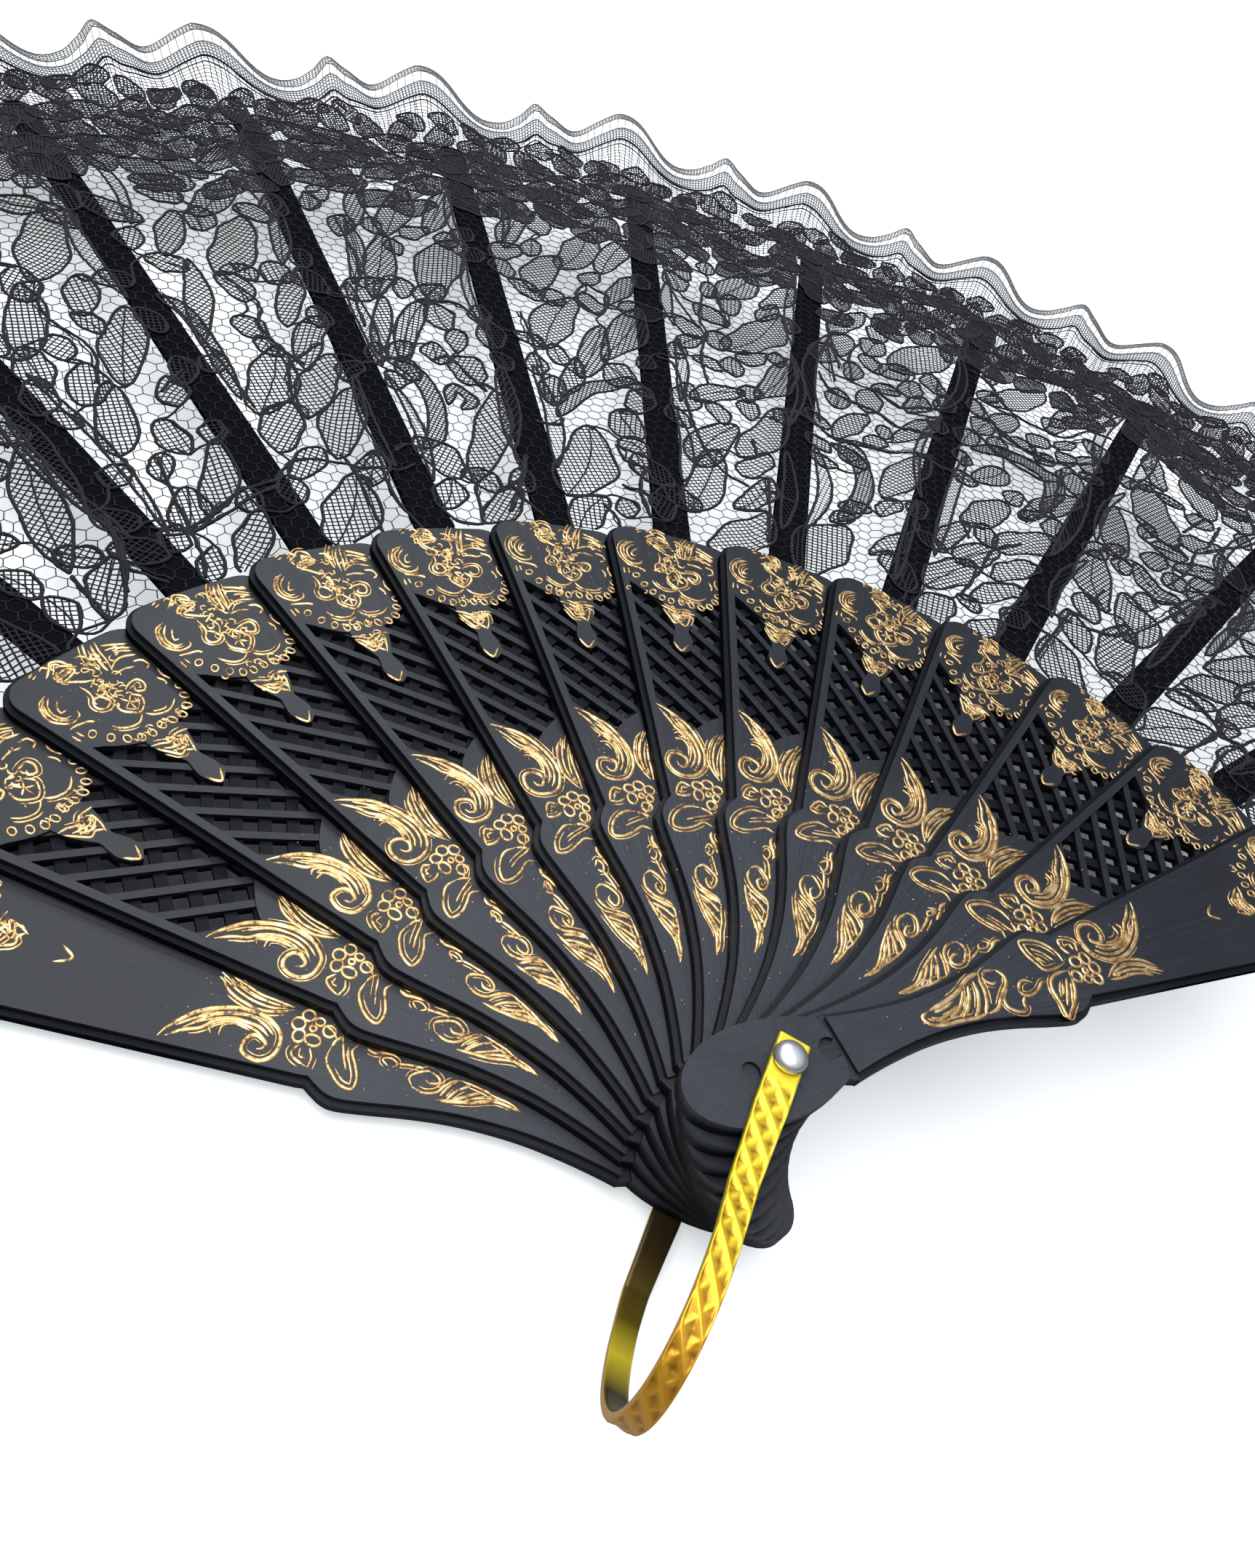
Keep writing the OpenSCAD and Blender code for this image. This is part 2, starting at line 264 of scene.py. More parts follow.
def gold_band():
    """The band's embossed outer face, with painted shade in its hollows; 'along' runs from its upper end to
    its lower.
    """
    m = Material("gold_band")
    ridge = m.attribute("ridge")
    along = m.attribute("along")
    cloud = m.noise(scale=260.0, detail=4.0, roughness=0.6)
    fine = m.noise(scale=1900.0, detail=3.0, roughness=0.6)
    crest = m.ramp(along, (0.0, (1.0, 0.77, 0.045)), (0.24, (1.0, 0.74, 0.035)),
                   (0.33, (0.84, 0.44, 0.025)), (0.43, (0.60, 0.28, 0.02)),
                   (1.0, (0.62, 0.34, 0.03)))
    # painted shade: the embossing's hollows are dark brown, its raised parts take the crest colour
    colour = m.mix(m.ramp(ridge, (0.10, BLACK), (0.62, WHITE)), (0.30, 0.135, 0.006), crest)
    worn = m.times(m.ramp(cloud, (0.52, BLACK), (0.75, WHITE)), 0.35)
    return m.set(Base_Color=m.mix(worn, colour, (0.62, 0.36, 0.04)),
                 Metallic=0.62,
                 Roughness=m.plus(0.26, m.times(fine, 0.22)),
                 Normal=m.bump(fine, strength=0.35, distance=0.00006))


def gold_band_inner():
    """The band's smooth inner face, darker and glossier, with a painted reflection: dark, and a bright glint
    across it.
    """
    m = Material("gold_band_inner")
    # painted reflection: dark brown along the face, with a bright yellow glint at about 0.69 of the way
    # along
    colour = m.ramp(m.attribute("along"), (0.50, (0.10, 0.065, 0.010)),
                    (0.61, (0.05, 0.035, 0.006)), (0.69, (1.0, 0.80, 0.05)),
                    (0.755, (0.16, 0.11, 0.012)), (0.86, (0.05, 0.03, 0.008)))
    fine = m.noise(scale=900.0, detail=3.0, roughness=0.6)
    return m.set(Base_Color=colour, Metallic=0.55, Roughness=m.plus(0.22, m.times(fine, 0.2)))


def pearl():
    m = Material("pearl")
    facing = m.node("ShaderNodeLayerWeight", {"Blend": 0.35}).outputs["Facing"]
    mottle = m.noise(scale=900.0, detail=3.0, roughness=0.5)
    # painted shade: the dome is darker grey where it turns away from the view
    colour = m.mix(facing, (0.74, 0.75, 0.76), (0.36, 0.37, 0.40))
    colour = m.mix(m.times(mottle, 0.30), colour, (0.50, 0.51, 0.54))
    return m.set(Base_Color=colour, Metallic=0.85, Roughness=0.34,
                 Coat_Weight=0.5, Coat_Roughness=0.12,
                 Normal=m.bump(mottle, strength=0.3, distance=0.00008))


def rivet_metal():
    m = Material("rivet_metal")
    mottle = m.noise(scale=1600.0, detail=3.0, roughness=0.6)
    colour = m.ramp(mottle, (0.3, (0.42, 0.42, 0.44)), (0.7, (0.62, 0.62, 0.64)))
    return m.set(Base_Color=colour, Metallic=1.0,
                 Roughness=m.plus(0.28, m.times(mottle, 0.25)))


PLASTIC = black_plastic()
GOLD_PRINT = gold_print()
LACE = thread("lace", scale=1800.0, dark=(0.003, 0.003, 0.004), pale=(0.011, 0.011, 0.014),
              Roughness=0.72, Specular_IOR_Level=0.25, Sheen_Weight=0.10,
              Sheen_Roughness=0.5, Sheen_Tint=(0.5, 0.53, 0.6))
EDGING = thread("lace_edging", scale=1500.0, dark=(0.07, 0.073, 0.075),
                pale=(0.15, 0.155, 0.155), Roughness=0.7, Sheen_Weight=0.4)
BAND = gold_band()
BAND_INNER = gold_band_inner()
PEARL = pearl()
RIVET = rivet_metal()


# ---------------------------------------------------------------- mesh and curve helpers
def make_mesh(name, verts, quads, materials, material_index=None, attributes=None):
    """A smooth mesh object of quads; verts in mm."""
    mesh = bpy.data.meshes.new(name)
    verts = np.asarray(verts, np.float32) * MM
    quads = np.asarray(quads, np.int32)
    mesh.vertices.add(len(verts))
    mesh.vertices.foreach_set("co", verts.ravel())
    mesh.loops.add(quads.size)
    mesh.loops.foreach_set("vertex_index", quads.ravel())
    mesh.polygons.add(len(quads))
    mesh.polygons.foreach_set("loop_start", np.arange(len(quads), dtype=np.int32) * 4)
    if material_index is not None:
        mesh.polygons.foreach_set("material_index", np.asarray(material_index, np.int32))
    mesh.update(calc_edges=True)
    mesh.polygons.foreach_set("use_smooth", np.full(len(quads), True))
    for key, values in (attributes or {}).items():
        attribute = mesh.attributes.new(key, "FLOAT", "POINT")
        attribute.data.foreach_set("value", np.asarray(values, np.float32))
    for material in materials:
        mesh.materials.append(material)
    mesh.validate()
    obj = bpy.data.objects.new(name, mesh)
    bpy.context.scene.collection.objects.link(obj)
    return obj


def catmull(points, steps, closed=False):
    """Smooth curve through points, in so many steps from each to the next."""
    p = np.asarray(points, float)
    if len(p) < 3:
        t = np.linspace(0, 1, steps + 1)[:, None]
        return p[0] * (1 - t) + p[-1] * t
    if closed:
        padded = np.concatenate([p[-1:], p, p[:2]])
    else:
        padded = np.concatenate([2 * p[:1] - p[1:2], p, 2 * p[-1:] - p[-2:-1]])
    out = []
    t = (np.arange(steps) / steps)[:, None]
    for i in range(len(padded) - 3):
        a, b, c, d = padded[i:i + 4]
        out.append(0.5 * (2 * b + (c - a) * t + (2 * a - 5 * b + 4 * c - d) * t * t
                          + (3 * b - a - 3 * c + d) * t ** 3))
    return np.concatenate(out if closed else out + [p[-1:]])


def unit(vectors):
    lengths = np.hypot(vectors[..., 0], vectors[..., 1])
    return vectors / np.maximum(lengths, 1e-9)[..., None]


def left_of(vectors):
    """Vectors turned a quarter turn anticlockwise."""
    return np.stack([-vectors[..., 1], vectors[..., 0]], -1)


def normals(points):
    return left_of(unit(np.gradient(points, axis=0)))


def arc_lengths(points):
    return np.concatenate([[0], np.cumsum(np.hypot(*np.diff(points, axis=0).T))])


def sample(values, lengths, at):
    return np.stack([np.interp(at, lengths, values[:, i]) for i in (0, 1)], 1)


def ellipse(x, y, radius_x, radius_y, tilt, count):
    a = np.linspace(0, 2 * math.pi, count + 1)[:-1]
    c, s = math.cos(tilt), math.sin(tilt)
    px, py = radius_x * np.cos(a), radius_y * np.sin(a)
    return np.stack([x + px * c - py * s, y + px * s + py * c], 1)


def points(text):
    return [tuple(map(float, pair.split(","))) for pair in text.split()]


def stroke_table(text):
    """Rows 'width: x,y x,y ...' parted by semicolons, as (width, points)."""
    rows = (row.split(":") for row in text.split(";"))
    return [(float(width), points(line)) for width, line in rows]


class Relief:
    """Raised lines and dots with sloping sides, gathered into one mesh."""

    # across the line: side as a share of half the width, height as a share of the full height
    PROFILE = ((1.0, 0), (0.62, 0.75), (0.0, 1.0), (-0.62, 0.75), (-1.0, 0))

    def __init__(self):
        self.verts, self.quads, self.ridge, self.count = [], [], [], 0

    def gather(self, verts, quads, ridge):
        self.verts.append(verts)
        self.quads += [np.asarray(q) + self.count for q in quads]
        self.ridge.append(ridge)
        self.count += len(verts)

    def line(self, path, width, height, closed=False, steps=4):
        p = catmull(path, steps, closed)
        m = len(p)
        if closed:
            side = left_of(unit(np.roll(p, -1, 0) - np.roll(p, 1, 0)))
            taper = np.ones(m)
        else:
            side = normals(p)
            t = np.linspace(0, 1, m)
            taper = np.clip(np.minimum(t, 1 - t) * 6 + 0.35, 0.35, 1.0)
        half = (width / 2 * taper)[:, None]
        tall = height * (0.55 + 0.45 * taper)
        rings = [np.concatenate([p + side * half * across, (tall * up)[:, None]], 1)
                 for across, up in self.PROFILE]
        i = np.arange(m if closed else m - 1)
        j = (i + 1) % m
        quads = [np.stack([i * 5 + c, j * 5 + c, j * 5 + c + 1, i * 5 + c + 1], 1)
                 for c in range(4)]
        if not closed:
            e = (m - 1) * 5
            quads.append([[0, 1, 3, 4], [e + 4, e + 3, e + 1, e]])
        self.gather(np.stack(rings, 1).reshape(-1, 3), quads,
                    np.tile([up for _, up in self.PROFILE], m))

    def dot(self, x, y, radius_x, radius_y, tilt, height=0.05):
        rim = ellipse(0, 0, radius_x, radius_y, tilt, 6)
        verts = np.zeros((12, 3))
        verts[:6, :2] = (x, y) + rim
        verts[6:, :2] = (x, y) + 0.55 * rim
        verts[6:, 2] = height
        i = np.arange(6)
        j = (i + 1) % 6
        self.gather(verts, [np.stack([i, j, j + 6, i + 6], 1), [[6, 7, 8, 11], [11, 8, 9, 10]]],
                    np.repeat([0.0, 1.0], 6))


# ---------------------------------------------------------------- gold ornament
# Places on a stick, in mm: across it (+ towards the next stick) and along it from the rivet.
# Stroke rows are 'width: across,along across,along ...'.
FEATHERS = stroke_table("""
0.50: -5.2,60.2 -4,59.7 -2.5,58.7 -1,57.5 .2,55.7 1,53.7 1.25,51.7 .9,50 -.2,48.5 -1.7,48
      -3.1,48.2 -4,49.1 -4.2,50.2 -3.7,51.4 -2.6,51.7 -1.6,51.2 -1.4,50.4 -1.9,49.5
      -2.6,49.6 -3,50.2;
0.42: -4.9,59.4 -3.6,58 -2.7,56.5 -1.5,55.5 -.6,54 -.2,52.2 -.4,50.7 -1.1,49.5;
0.36: -3,55.2 -2.2,55.6 -1.2,54.6 -.7,53 -.9,51.2 -1.4,50;
0.34: -2.9,54.4 -1.7,54.4 -1,53.2 -1.1,51.5;
0.40: -2.4,57.5 -.7,55.7 .1,54 .5,52 .1,50.2 -.7,49;
0.34: -3.4,58.9 -1.7,57.3 -.2,55 .5,53;
0.42: 3.6,56.5 2.5,55.2 1.9,53.5 1.6,51.7 2,50 3,48;
0.42: 4.4,55.7 4,54 3.6,52 3.5,50 3.3,48.1;
0.38: 4,56.7 3,54.5 2.4,52.5 2.4,50.5 2.9,48.8;
0.34: 4.2,55.3 3.3,53.2 2.9,51 3,49; 0.30: 4.6,57.1 4.1,56.1 3.4,54.8""")
FLOWER = stroke_table("""
0.40: -3.4,44.4 -2.9,45.9 -2.2,46.6 -1.2,46.1; 0.38: -3.4,44.4 -2.2,44.3 -1.2,44.8;
0.32: -1.5,45.8 -2.4,45.7 -2.5,45;
0.42: 0,42.7 -1.7,42.7 -3.1,41.7 -4,40.4 -4.1,39.05 -2.7,38.9 -1.2,39.6 .2,40.4 1.4,39.9;
0.40: 0,42.7 .8,42.5 1.6,42; 0.36: -2.2,40.4 -.7,41.1 .6,41.6 1.6,42;
0.34: 1.0,42.5 1.7,43.1 2.2,44.2""")
# across, along, radius across, radius along
PETALS = [(1.3, 47.0, .78, .72), (2.65, 46.3, .72, .70), (-.1, 44.9, .68, .88),
          (1.6, 43.55, .72, .72), (-.1, 46.5, .80, .66), (1.3, 45.35, .36, .36),
          (2.35, 44.9, .5, .55)]
VINE = stroke_table("""
0.50: 1.1,39 1,38 1.4,37 1.6,35.7; 0.36: -.1,36.2 .6,37 1,36.2 .6,35.2 0,35.7;
0.40: .6,35.2 .9,34.2 1.1,33 1.2,32.2;
0.42: -1.5,33 -.6,33.5 .2,33 1,31.7 .7,30.5 0,30.2 -.4,31.2 -.1,31.8;
0.42: -1.5,33 -1.75,31.5 -1.2,30.2 -.2,29.5 .9,28.7 1.2,27.5;
0.46: -2.1,30 -1.6,28.2 -.9,26 0,24 .2,22.5 -.1,20.4;
0.42: -1.5,29.7 0,29 1.2,28; 0.42: -1.6,28.9 -.2,28 1.1,26.5;
0.42: -1.3,28 -.3,26.7 1,25; 0.40: -1.1,27 -.1,25.4 .7,23.7;
0.42: 1.2,28 1.15,26.5 1,25 .7,23.7 .45,21.8 -.1,20.4; 0.34: -.6,26.4 .1,24.8 .4,23""")
CARTOUCHE = stroke_table("""
0.38: 2.7,98.4 2,97.3 1.3,95.6 1.3,93.8; 0.40: 3.3,97.6 2.7,96.4 2.2,94.7 2,93.1;
0.38: 4,97.8 3.4,96.2 3.1,94.7 2.4,92.9; 0.34: .4,97.1 1.3,96.9 1.8,95.3;
0.40: -4.4,96.4 -3.3,97.3 -2.4,98.2 -1.3,97.8 -.9,96.7; 0.36: -4.2,97.8 -3.5,98.1 -2.9,97.2;
0.34: -2.4,97.2 -1.6,97 -.4,95.8;
0.40: -3.1,94.8 -3.7,95.3 -2.9,96.1 -1.6,96.3 -.9,95.6 -2.2,95.1 -3.1,94.8 -2.4,94.2
      -1.3,93.4 -.2,93;
0.40: -2.4,93.1 -2.2,92 -2.4,90.9 -3.1,90 -3.1,89.1 -2.2,88.7 -1.3,89.3 -1.6,90.4 -2.4,90.9;
0.34: -.9,92.7 -.4,91.6 -.6,90.6 -1.1,89.8; 0.34: -1.5,92.3 -.9,92.7 0,93.2;
0.40: 1.3,89.6 2.4,90 3.6,90 3.8,89.1 3.1,88.2 2.2,88.7 2.7,89.3;
0.42: -1.1,88.7 -1.3,87.3 -.4,86.2 .4,85.8 1.6,86.7 2,87.8 1.3,88.7;
0.32: .4,87.8 -.2,88.9; 0.32: .4,87.8 1.2,88.6; 0.32: .4,87.8 -.6,87.3;
0.32: .4,87.8 .3,86.4; 0.32: .4,87.8 1.3,87.1; 0.36: -.4,89.6 .3,90 1.1,89.5;
0.38: -3.9,86.2 -3.1,85.2 -2,84.6 -.9,84.7 .1,85.4;
0.38: .4,85.3 1.3,84.4 2.7,84 3.8,84.2 4.8,84.9;
0.40: -6.4,94.4 -7.8,93.8 -8.5,92.4 -8.6,91.1 -8,90 -6.9,89.3 -5.6,89.6 -5.3,90.4;
0.36: -6.3,93.9 -7.3,92.9 -7.7,91.6 -7.2,90.4 -6.2,90.2;
0.34: -5.9,93 -6.6,92.2 -6.8,91.3 -6.1,91.2; 0.30: -6.9,94 -8.0,93 -8.1,91.5;
0.38: -7.8,88.7 -6.7,88.6 -5.3,88.3 -4.9,87.8; 0.34: -8.3,87.8 -8.2,86.5;
0.34: -7.6,87.9 -7.4,86.8; 0.40: 2.4,93.1 3.6,93.8 4.9,93.9 6.7,93.1;
0.36: 2.2,92.2 3.6,92.3 4.9,91.8; 0.38: 5.3,92.6 6.4,92.2 6.5,91.1 5.7,90.7;
0.40: 4.2,96.9 5.6,96.2 7,95.2; 0.36: 4,96 5.3,95.6 7,94.3; 0.32: 4.6,95 5.6,94.8 6.6,94;
0.34: 5.6,88.9 6,87.9 5.8,87.2; 0.36: 6.9,90 6.6,88.9 7,87.6;
0.38: -2.7,81 -1.6,80.7 -.4,80.1 .7,80.7 1.8,80.6 2.6,80.4;
0.38: -2.5,80.4 -1.7,79.1 -.9,77.9 0,78.1 .8,77.4;
0.36: -1.8,79.9 -.7,79.3 .4,79.1 1.6,79.8 1.3,78.4 .7,77.2; 0.34: -.6,78.7 .2,78.4 .9,78.9;
0.40: -1.35,73.5 -.7,72.4 -.1,72.1 .9,73.5; 0.36: -5.9,97.7 -5.1,98.1;
0.30: -5.7,97.2 -4.9,97.5""")
BEADS = points("-6.4,86.6 -5.2,84.9 -3.9,83.6 -2.5,82.75 -1.1,82.5 .6,82.7 2.15,82.55 "
               "3.7,82.5 5.2,83.2 6.2,84.6 6.9,86.1")
FRONT_VINE = stroke_table("""
0.46: 1.1,39 .9,37.9 1.6,36.6 1.8,35 1.2,34 .2,34.5 -.1,35.6 .6,36.6;
0.46: 1.6,34.4 2.4,33.5 3.2,33.2 3.1,32 2.2,31 1,31.4 .2,32.6;
0.46: -2.3,32.6 -1.4,33.3 -.4,33 .4,31.9 1.2,30.7 2,29.5 2.3,28;
0.44: -2.3,32.6 -2.5,31.1 -1.7,30.2 -.8,30.9 -1,31.7;
0.50: -2.6,30.2 -2.2,28 -1.3,25.6 -.6,23 -.3,20.5; 0.46: -2,29.6 -.6,29.4 1,28.6 2.2,27.4;
0.46: -1.9,28.6 -.4,28.2 1.2,27 2.1,25.8; 0.46: -1.6,27.6 -.2,26.7 1,25.4 1.6,24.2;
0.44: -1.3,26.6 0,25.4 .8,24 1.1,22.6;
0.48: 2.2,28 2.2,26 1.9,23.5 1.8,21.5 1.2,19.7 .2,19.2 -.3,20.5;
0.40: .2,25 .7,23 .9,21.4 .5,20.2; 0.40: -.4,24.4 0,22.6 .1,21""")
FRONT_LEAVES = stroke_table("""
0.40: -.3,43 -2,43 -3.6,41.8 -4.5,40 -4.6,38.6 -3,38.4 -1.6,38.9 -.4,39.6 -.2,41.4 -.3,43;
0.34: -1,41.8 -2.4,41 -3.4,39.6; 0.34: -1,40.4 -2.2,39.6;
0.42: .6,42.8 2.2,42.4 3.8,41.2 5,39.6 5.6,38.2 3.8,38.5 2.2,38.7 .9,39.6 .5,41.2 .6,42.8;
0.36: 1.3,41.8 2.8,40.6 4.4,39.2; 0.34: 1.4,40.6 2.6,39.6 3.4,39.2;
0.32: 1.9,42 3.4,41 4.6,39.9""")
# how many curls, middle (across, along), scatter (across, along)
CURLS = ((30, 0.1, 91.0, 1.9, 3.4), (10, 1.5, 95.5, 1.6, 1.5), (9, -2.6, 96.2, 1.2, 1.1),
         (14, 0.1, 79.8, 1.15, 1.0), (4, 5.0, 94.4, 1.3, 1.1), (10, 0.2, 83.2, 4.2, .35))
FLECK_CENTRES = ((-1.5, 54), (1, 46), (0, 30), (2, 40), (0, 90))
FOIL_H = 0.125          # height of the raised lines
FOIL_SUNK = 0.015       # how deep their feet sit in the blade


def add_strokes(relief, strokes, offset, pair_from, g):
    """Listed strokes; a finer line follows beside each one longer than pair_from."""
    for width, line in strokes:
        p = np.array(line) + offset + g.normal(0, .035, (len(line), 2))
        relief.line(p, 1.22 * width * g.uniform(.88, 1.1), FOIL_H * g.uniform(.8, 1.1))
        curve = catmull(p, 4)
        if arc_lengths(curve)[-1] > pair_from:
            m = len(curve)
            beside = curve + normals(curve) * g.choice([-1, 1]) * g.uniform(.46, .60)
            start, end = int(m * g.uniform(.05, .25)), int(m * g.uniform(.75, .95))
            relief.line(beside[start:end:2], g.uniform(.22, .34), FOIL_H * g.uniform(.6, .9),
                        steps=2)


def add_curls(relief, offset, g):
    for count, middle_x, middle_y, scatter_x, scatter_y in CURLS:
        for _ in range(count):
            x = middle_x + g.normal(0, scatter_x * .62)
            y = middle_y + g.normal(0, scatter_y * .62)
            if math.hypot(x, y) > 97.8:
                continue
            start, radius, sweep = g.uniform(0, 6.3), g.uniform(.28, .62), g.uniform(2.0, 4.4)
            a = start + np.linspace(0, sweep, 7)
            radii = radius * np.linspace(1.15, .7, 7)
            curl = np.stack([x + radii * np.cos(a), y + radii * np.sin(a)], 1) + offset
            relief.line(curl, g.uniform(.26, .42), FOIL_H * g.uniform(.7, 1.05), steps=2)


def add_flecks(relief, g):
    """Stray flecks of foil: round the motifs, then all along the stick."""
    for _ in range(90):
        middle_x, middle_y = FLECK_CENTRES[g.randint(5)]
        x, y = middle_x + g.normal(0, 2.2), middle_y + g.normal(0, 3.5)
        limit = 2.1 if y < 33 else 4.0 if y < 62 else 7.0
        if abs(x) < limit and not (61 < y < 84) and y < 97:
            relief.dot(x, y, g.uniform(.05, .13), g.uniform(.04, .09), g.uniform(0, 3))
    for _ in range(26):
        y = g.uniform(14, 60)
        x = g.normal(0, .09 * y * .5 + .6)
        if abs(x) < (2.4 if y < 30 else 4.6) and not (48 < y < 62 and abs(x) > 3):
            relief.dot(x, y, g.uniform(.06, .16), g.uniform(.05, .10), g.uniform(0, 3))


def ornament(k):
    relief = Relief()
    g = np.random.RandomState(100 + k)
    feather_offset = g.normal(0, .12, 2)
    crest_offset = g.normal(0, .10, 2)
    flower_offset = g.normal(0, .12, 2)
    add_strokes(relief, FEATHERS, feather_offset, 2.2, g)
    add_strokes(relief, CARTOUCHE, crest_offset, 4.6, g)
    if k == LAST:
        lower = (FRONT_VINE, FRONT_LEAVES, FLOWER[:3])
    else:
        lower = (FLOWER, VINE)
    for strokes in lower:
        add_strokes(relief, strokes, flower_offset, 2.2, g)
    add_curls(relief, crest_offset, g)
    for x, y, radius_x, radius_y in PETALS:
        ring = ellipse(x + flower_offset[0], y + flower_offset[1], radius_x, radius_y, 0, 9)
        relief.line(ring, 0.48, FOIL_H, closed=True, steps=2)
    for x, y in BEADS:
        tilt = math.atan2(y - 91, x) + g.normal(0, .1)
        ring = ellipse(x + crest_offset[0], y + crest_offset[1], .60, .44, tilt, 9)
        relief.line(ring, 0.34, FOIL_H, closed=True, steps=2)
    add_flecks(relief, g)

    verts = np.concatenate(relief.verts)
    angle = angle_at(k)
    along = np.array([math.cos(angle), math.sin(angle)])
    across = np.array([math.sin(angle), -math.cos(angle)])
    xy = verts[:, 1:2] * along + verts[:, 0:1] * across
    z = verts[:, 2] + BACK_Z + k * PITCH + BLADE_T - FOIL_SUNK
    obj = make_mesh("ornament_%02d" % k, np.concatenate([xy, z[:, None]], 1),
                    np.concatenate(relief.quads), [GOLD_PRINT],
                    attributes={"ridge": np.concatenate(relief.ridge)})
    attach(obj, STICKS[k])


for k in range(LAST + 1):
    ornament(k)


# ---------------------------------------------------------------- sticks and rivet
def dress(name, material, bevel_width, bevel_segments):
    """Give a CAD piece its material and rounded edges."""
    obj = bpy.data.objects[name]
    obj.data.materials.clear()
    obj.data.materials.append(material)
    bevel = obj.modifiers.new("edges", "BEVEL")
    bevel.width = bevel_width
    bevel.segments = bevel_segments
    bevel.limit_method = "ANGLE"
    bevel.angle_limit = math.radians(40)


for name in STICKS:
    dress(name, PLASTIC, bevel_width=0.00016, bevel_segments=2)
dress("pivot_pin", RIVET, bevel_width=0.00025, bevel_segments=3)


def cap():
    """Pearl dome over the rivet: a short wall with a domed top."""
    radius, height = 1.85, 1.5
    edge, wall = .12, .35           # chamfer under the rim, top of the wall
    around, steps = 48, 14
    base_z = STACK_TOP + BAND_T + 0.12
    profile = [(0.0, 0.0), (radius - edge, 0.0), (radius, edge), (radius, wall)]
    profile += [(radius * math.cos(a), wall + (height - wall) * math.sin(a))
                for a in np.radians(np.linspace(6, 84, steps))]
    profile += [(0.0, height)]
    turns = [2 * math.pi * i / around for i in range(around)]
    verts = [(r * math.cos(a), r * math.sin(a), base_z + z) for r, z in profile for a in turns]
    quads = []
    for j in range(len(profile) - 1):
        for i in range(around):
            low, after = j * around, (i + 1) % around
            quads.append((low + i, low + after, low + around + after, low + around + i))
    obj = make_mesh("cap_dome", verts, quads, [PEARL])
    # merge the rings of no radius at the poles
    bm = bmesh.new()
    bm.from_mesh(obj.data)
    bmesh.ops.remove_doubles(bm, verts=bm.verts, dist=1e-7)
    bmesh.ops.recalc_face_normals(bm, faces=bm.faces)
    bm.to_mesh(obj.data)
    bm.free()
    for face in obj.data.polygons:
        face.use_smooth = True
    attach(obj, "rear_guard")
    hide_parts("pearl_cap")


cap()

# ---------------------------------------------------------------- bail loop
EYE_END = -2.7          # the band's arms end this far beyond the rivet's axis
EYE_HOLE = 1.27         # radius of the rivet hole in each arm
EMBOSS = 0.36           # depth of the embossing


def loop_path():
    """The band's middle line as (distance from the rivet, height), upper arm first."""
    top = STACK_TOP + 0.06 + BAND_T / 2
    bottom = BACK_Z - 0.04 - BAND_T / 2
    middle, half = (top + bottom) / 2, (top - bottom) / 2
    t = np.radians(np.linspace(0, 180, 260))
    upper = np.linspace(EYE_END, LOOP_D0, 90)[:-1]
    lower = np.linspace(LOOP_D0, EYE_END, 90)[1:]
    bend = np.stack([LOOP_D0 + (LOOP_LEN - LOOP_D0) * np.sin(t),
                     middle + half * np.cos(t) + LOOP_LEAN * np.sin(t)], 1)
    path = np.concatenate([np.stack([upper, np.full(89, top)], 1), bend,
                           np.stack([lower, np.full(89, bottom)], 1)])
    # ease the bends where the arms run into the eye
    kernel = np.hanning(61)
    kernel /= kernel.sum()
    for _ in range(3):
        lengths = arc_lengths(path)
        path = sample(path, lengths, np.linspace(0, lengths[-1], 700))
        eased = np.stack([np.convolve(np.pad(path[:, i], 30, mode="edge"), kernel, "valid")
                          for i in (0, 1)], 1)
        share = np.clip((path[:, 0] - 14.4) / 4.0, 0, 1)[:, None]
        path = path * (1 - share) + eased * share
    return path


def zigzag(x):
    """1 at whole numbers, 0 half way between them."""
    return 1 - 2 * np.abs(x - np.floor(x + .5))


def embossing(S, V, reach, end):
    """Relief from 0 to 1; S along the band in mm, V across it from -1 to 1."""
    rising = zigzag(S / 3.1 - V * .66)
    falling = zigzag(S / 3.1 + V * .66)
    vein = 0.5 + 0.5 * np.cos(2 * math.pi * (S / 0.95 + V * .9))
    leaf = np.maximum(rising ** 1.3, .86 * falling ** 1.5)
    leaf = np.maximum(leaf * (.90 + .10 * vein), (0.10 + 0.22 * vein) * (np.abs(V) < .86))
    rope = np.maximum(rising, .8 * falling * (.7 + .3 * vein))
    bend = np.clip((reach - 17) / 6.0, 0, 1)
    relief = leaf * (1 - .7 * bend) + rope * .7 * bend
    rim = np.clip((np.abs(V) - .84) / .06, 0, 1)
    relief = np.maximum(relief, rim * 0.85)
    # the arms' ends stay plain
    embossed = np.clip((S - 5.2) / 1.0, 0, 1) * np.clip((end - 5.2 - S) / 1.0, 0, 1)
    return relief * embossed + 0.8 * (1 - embossed)


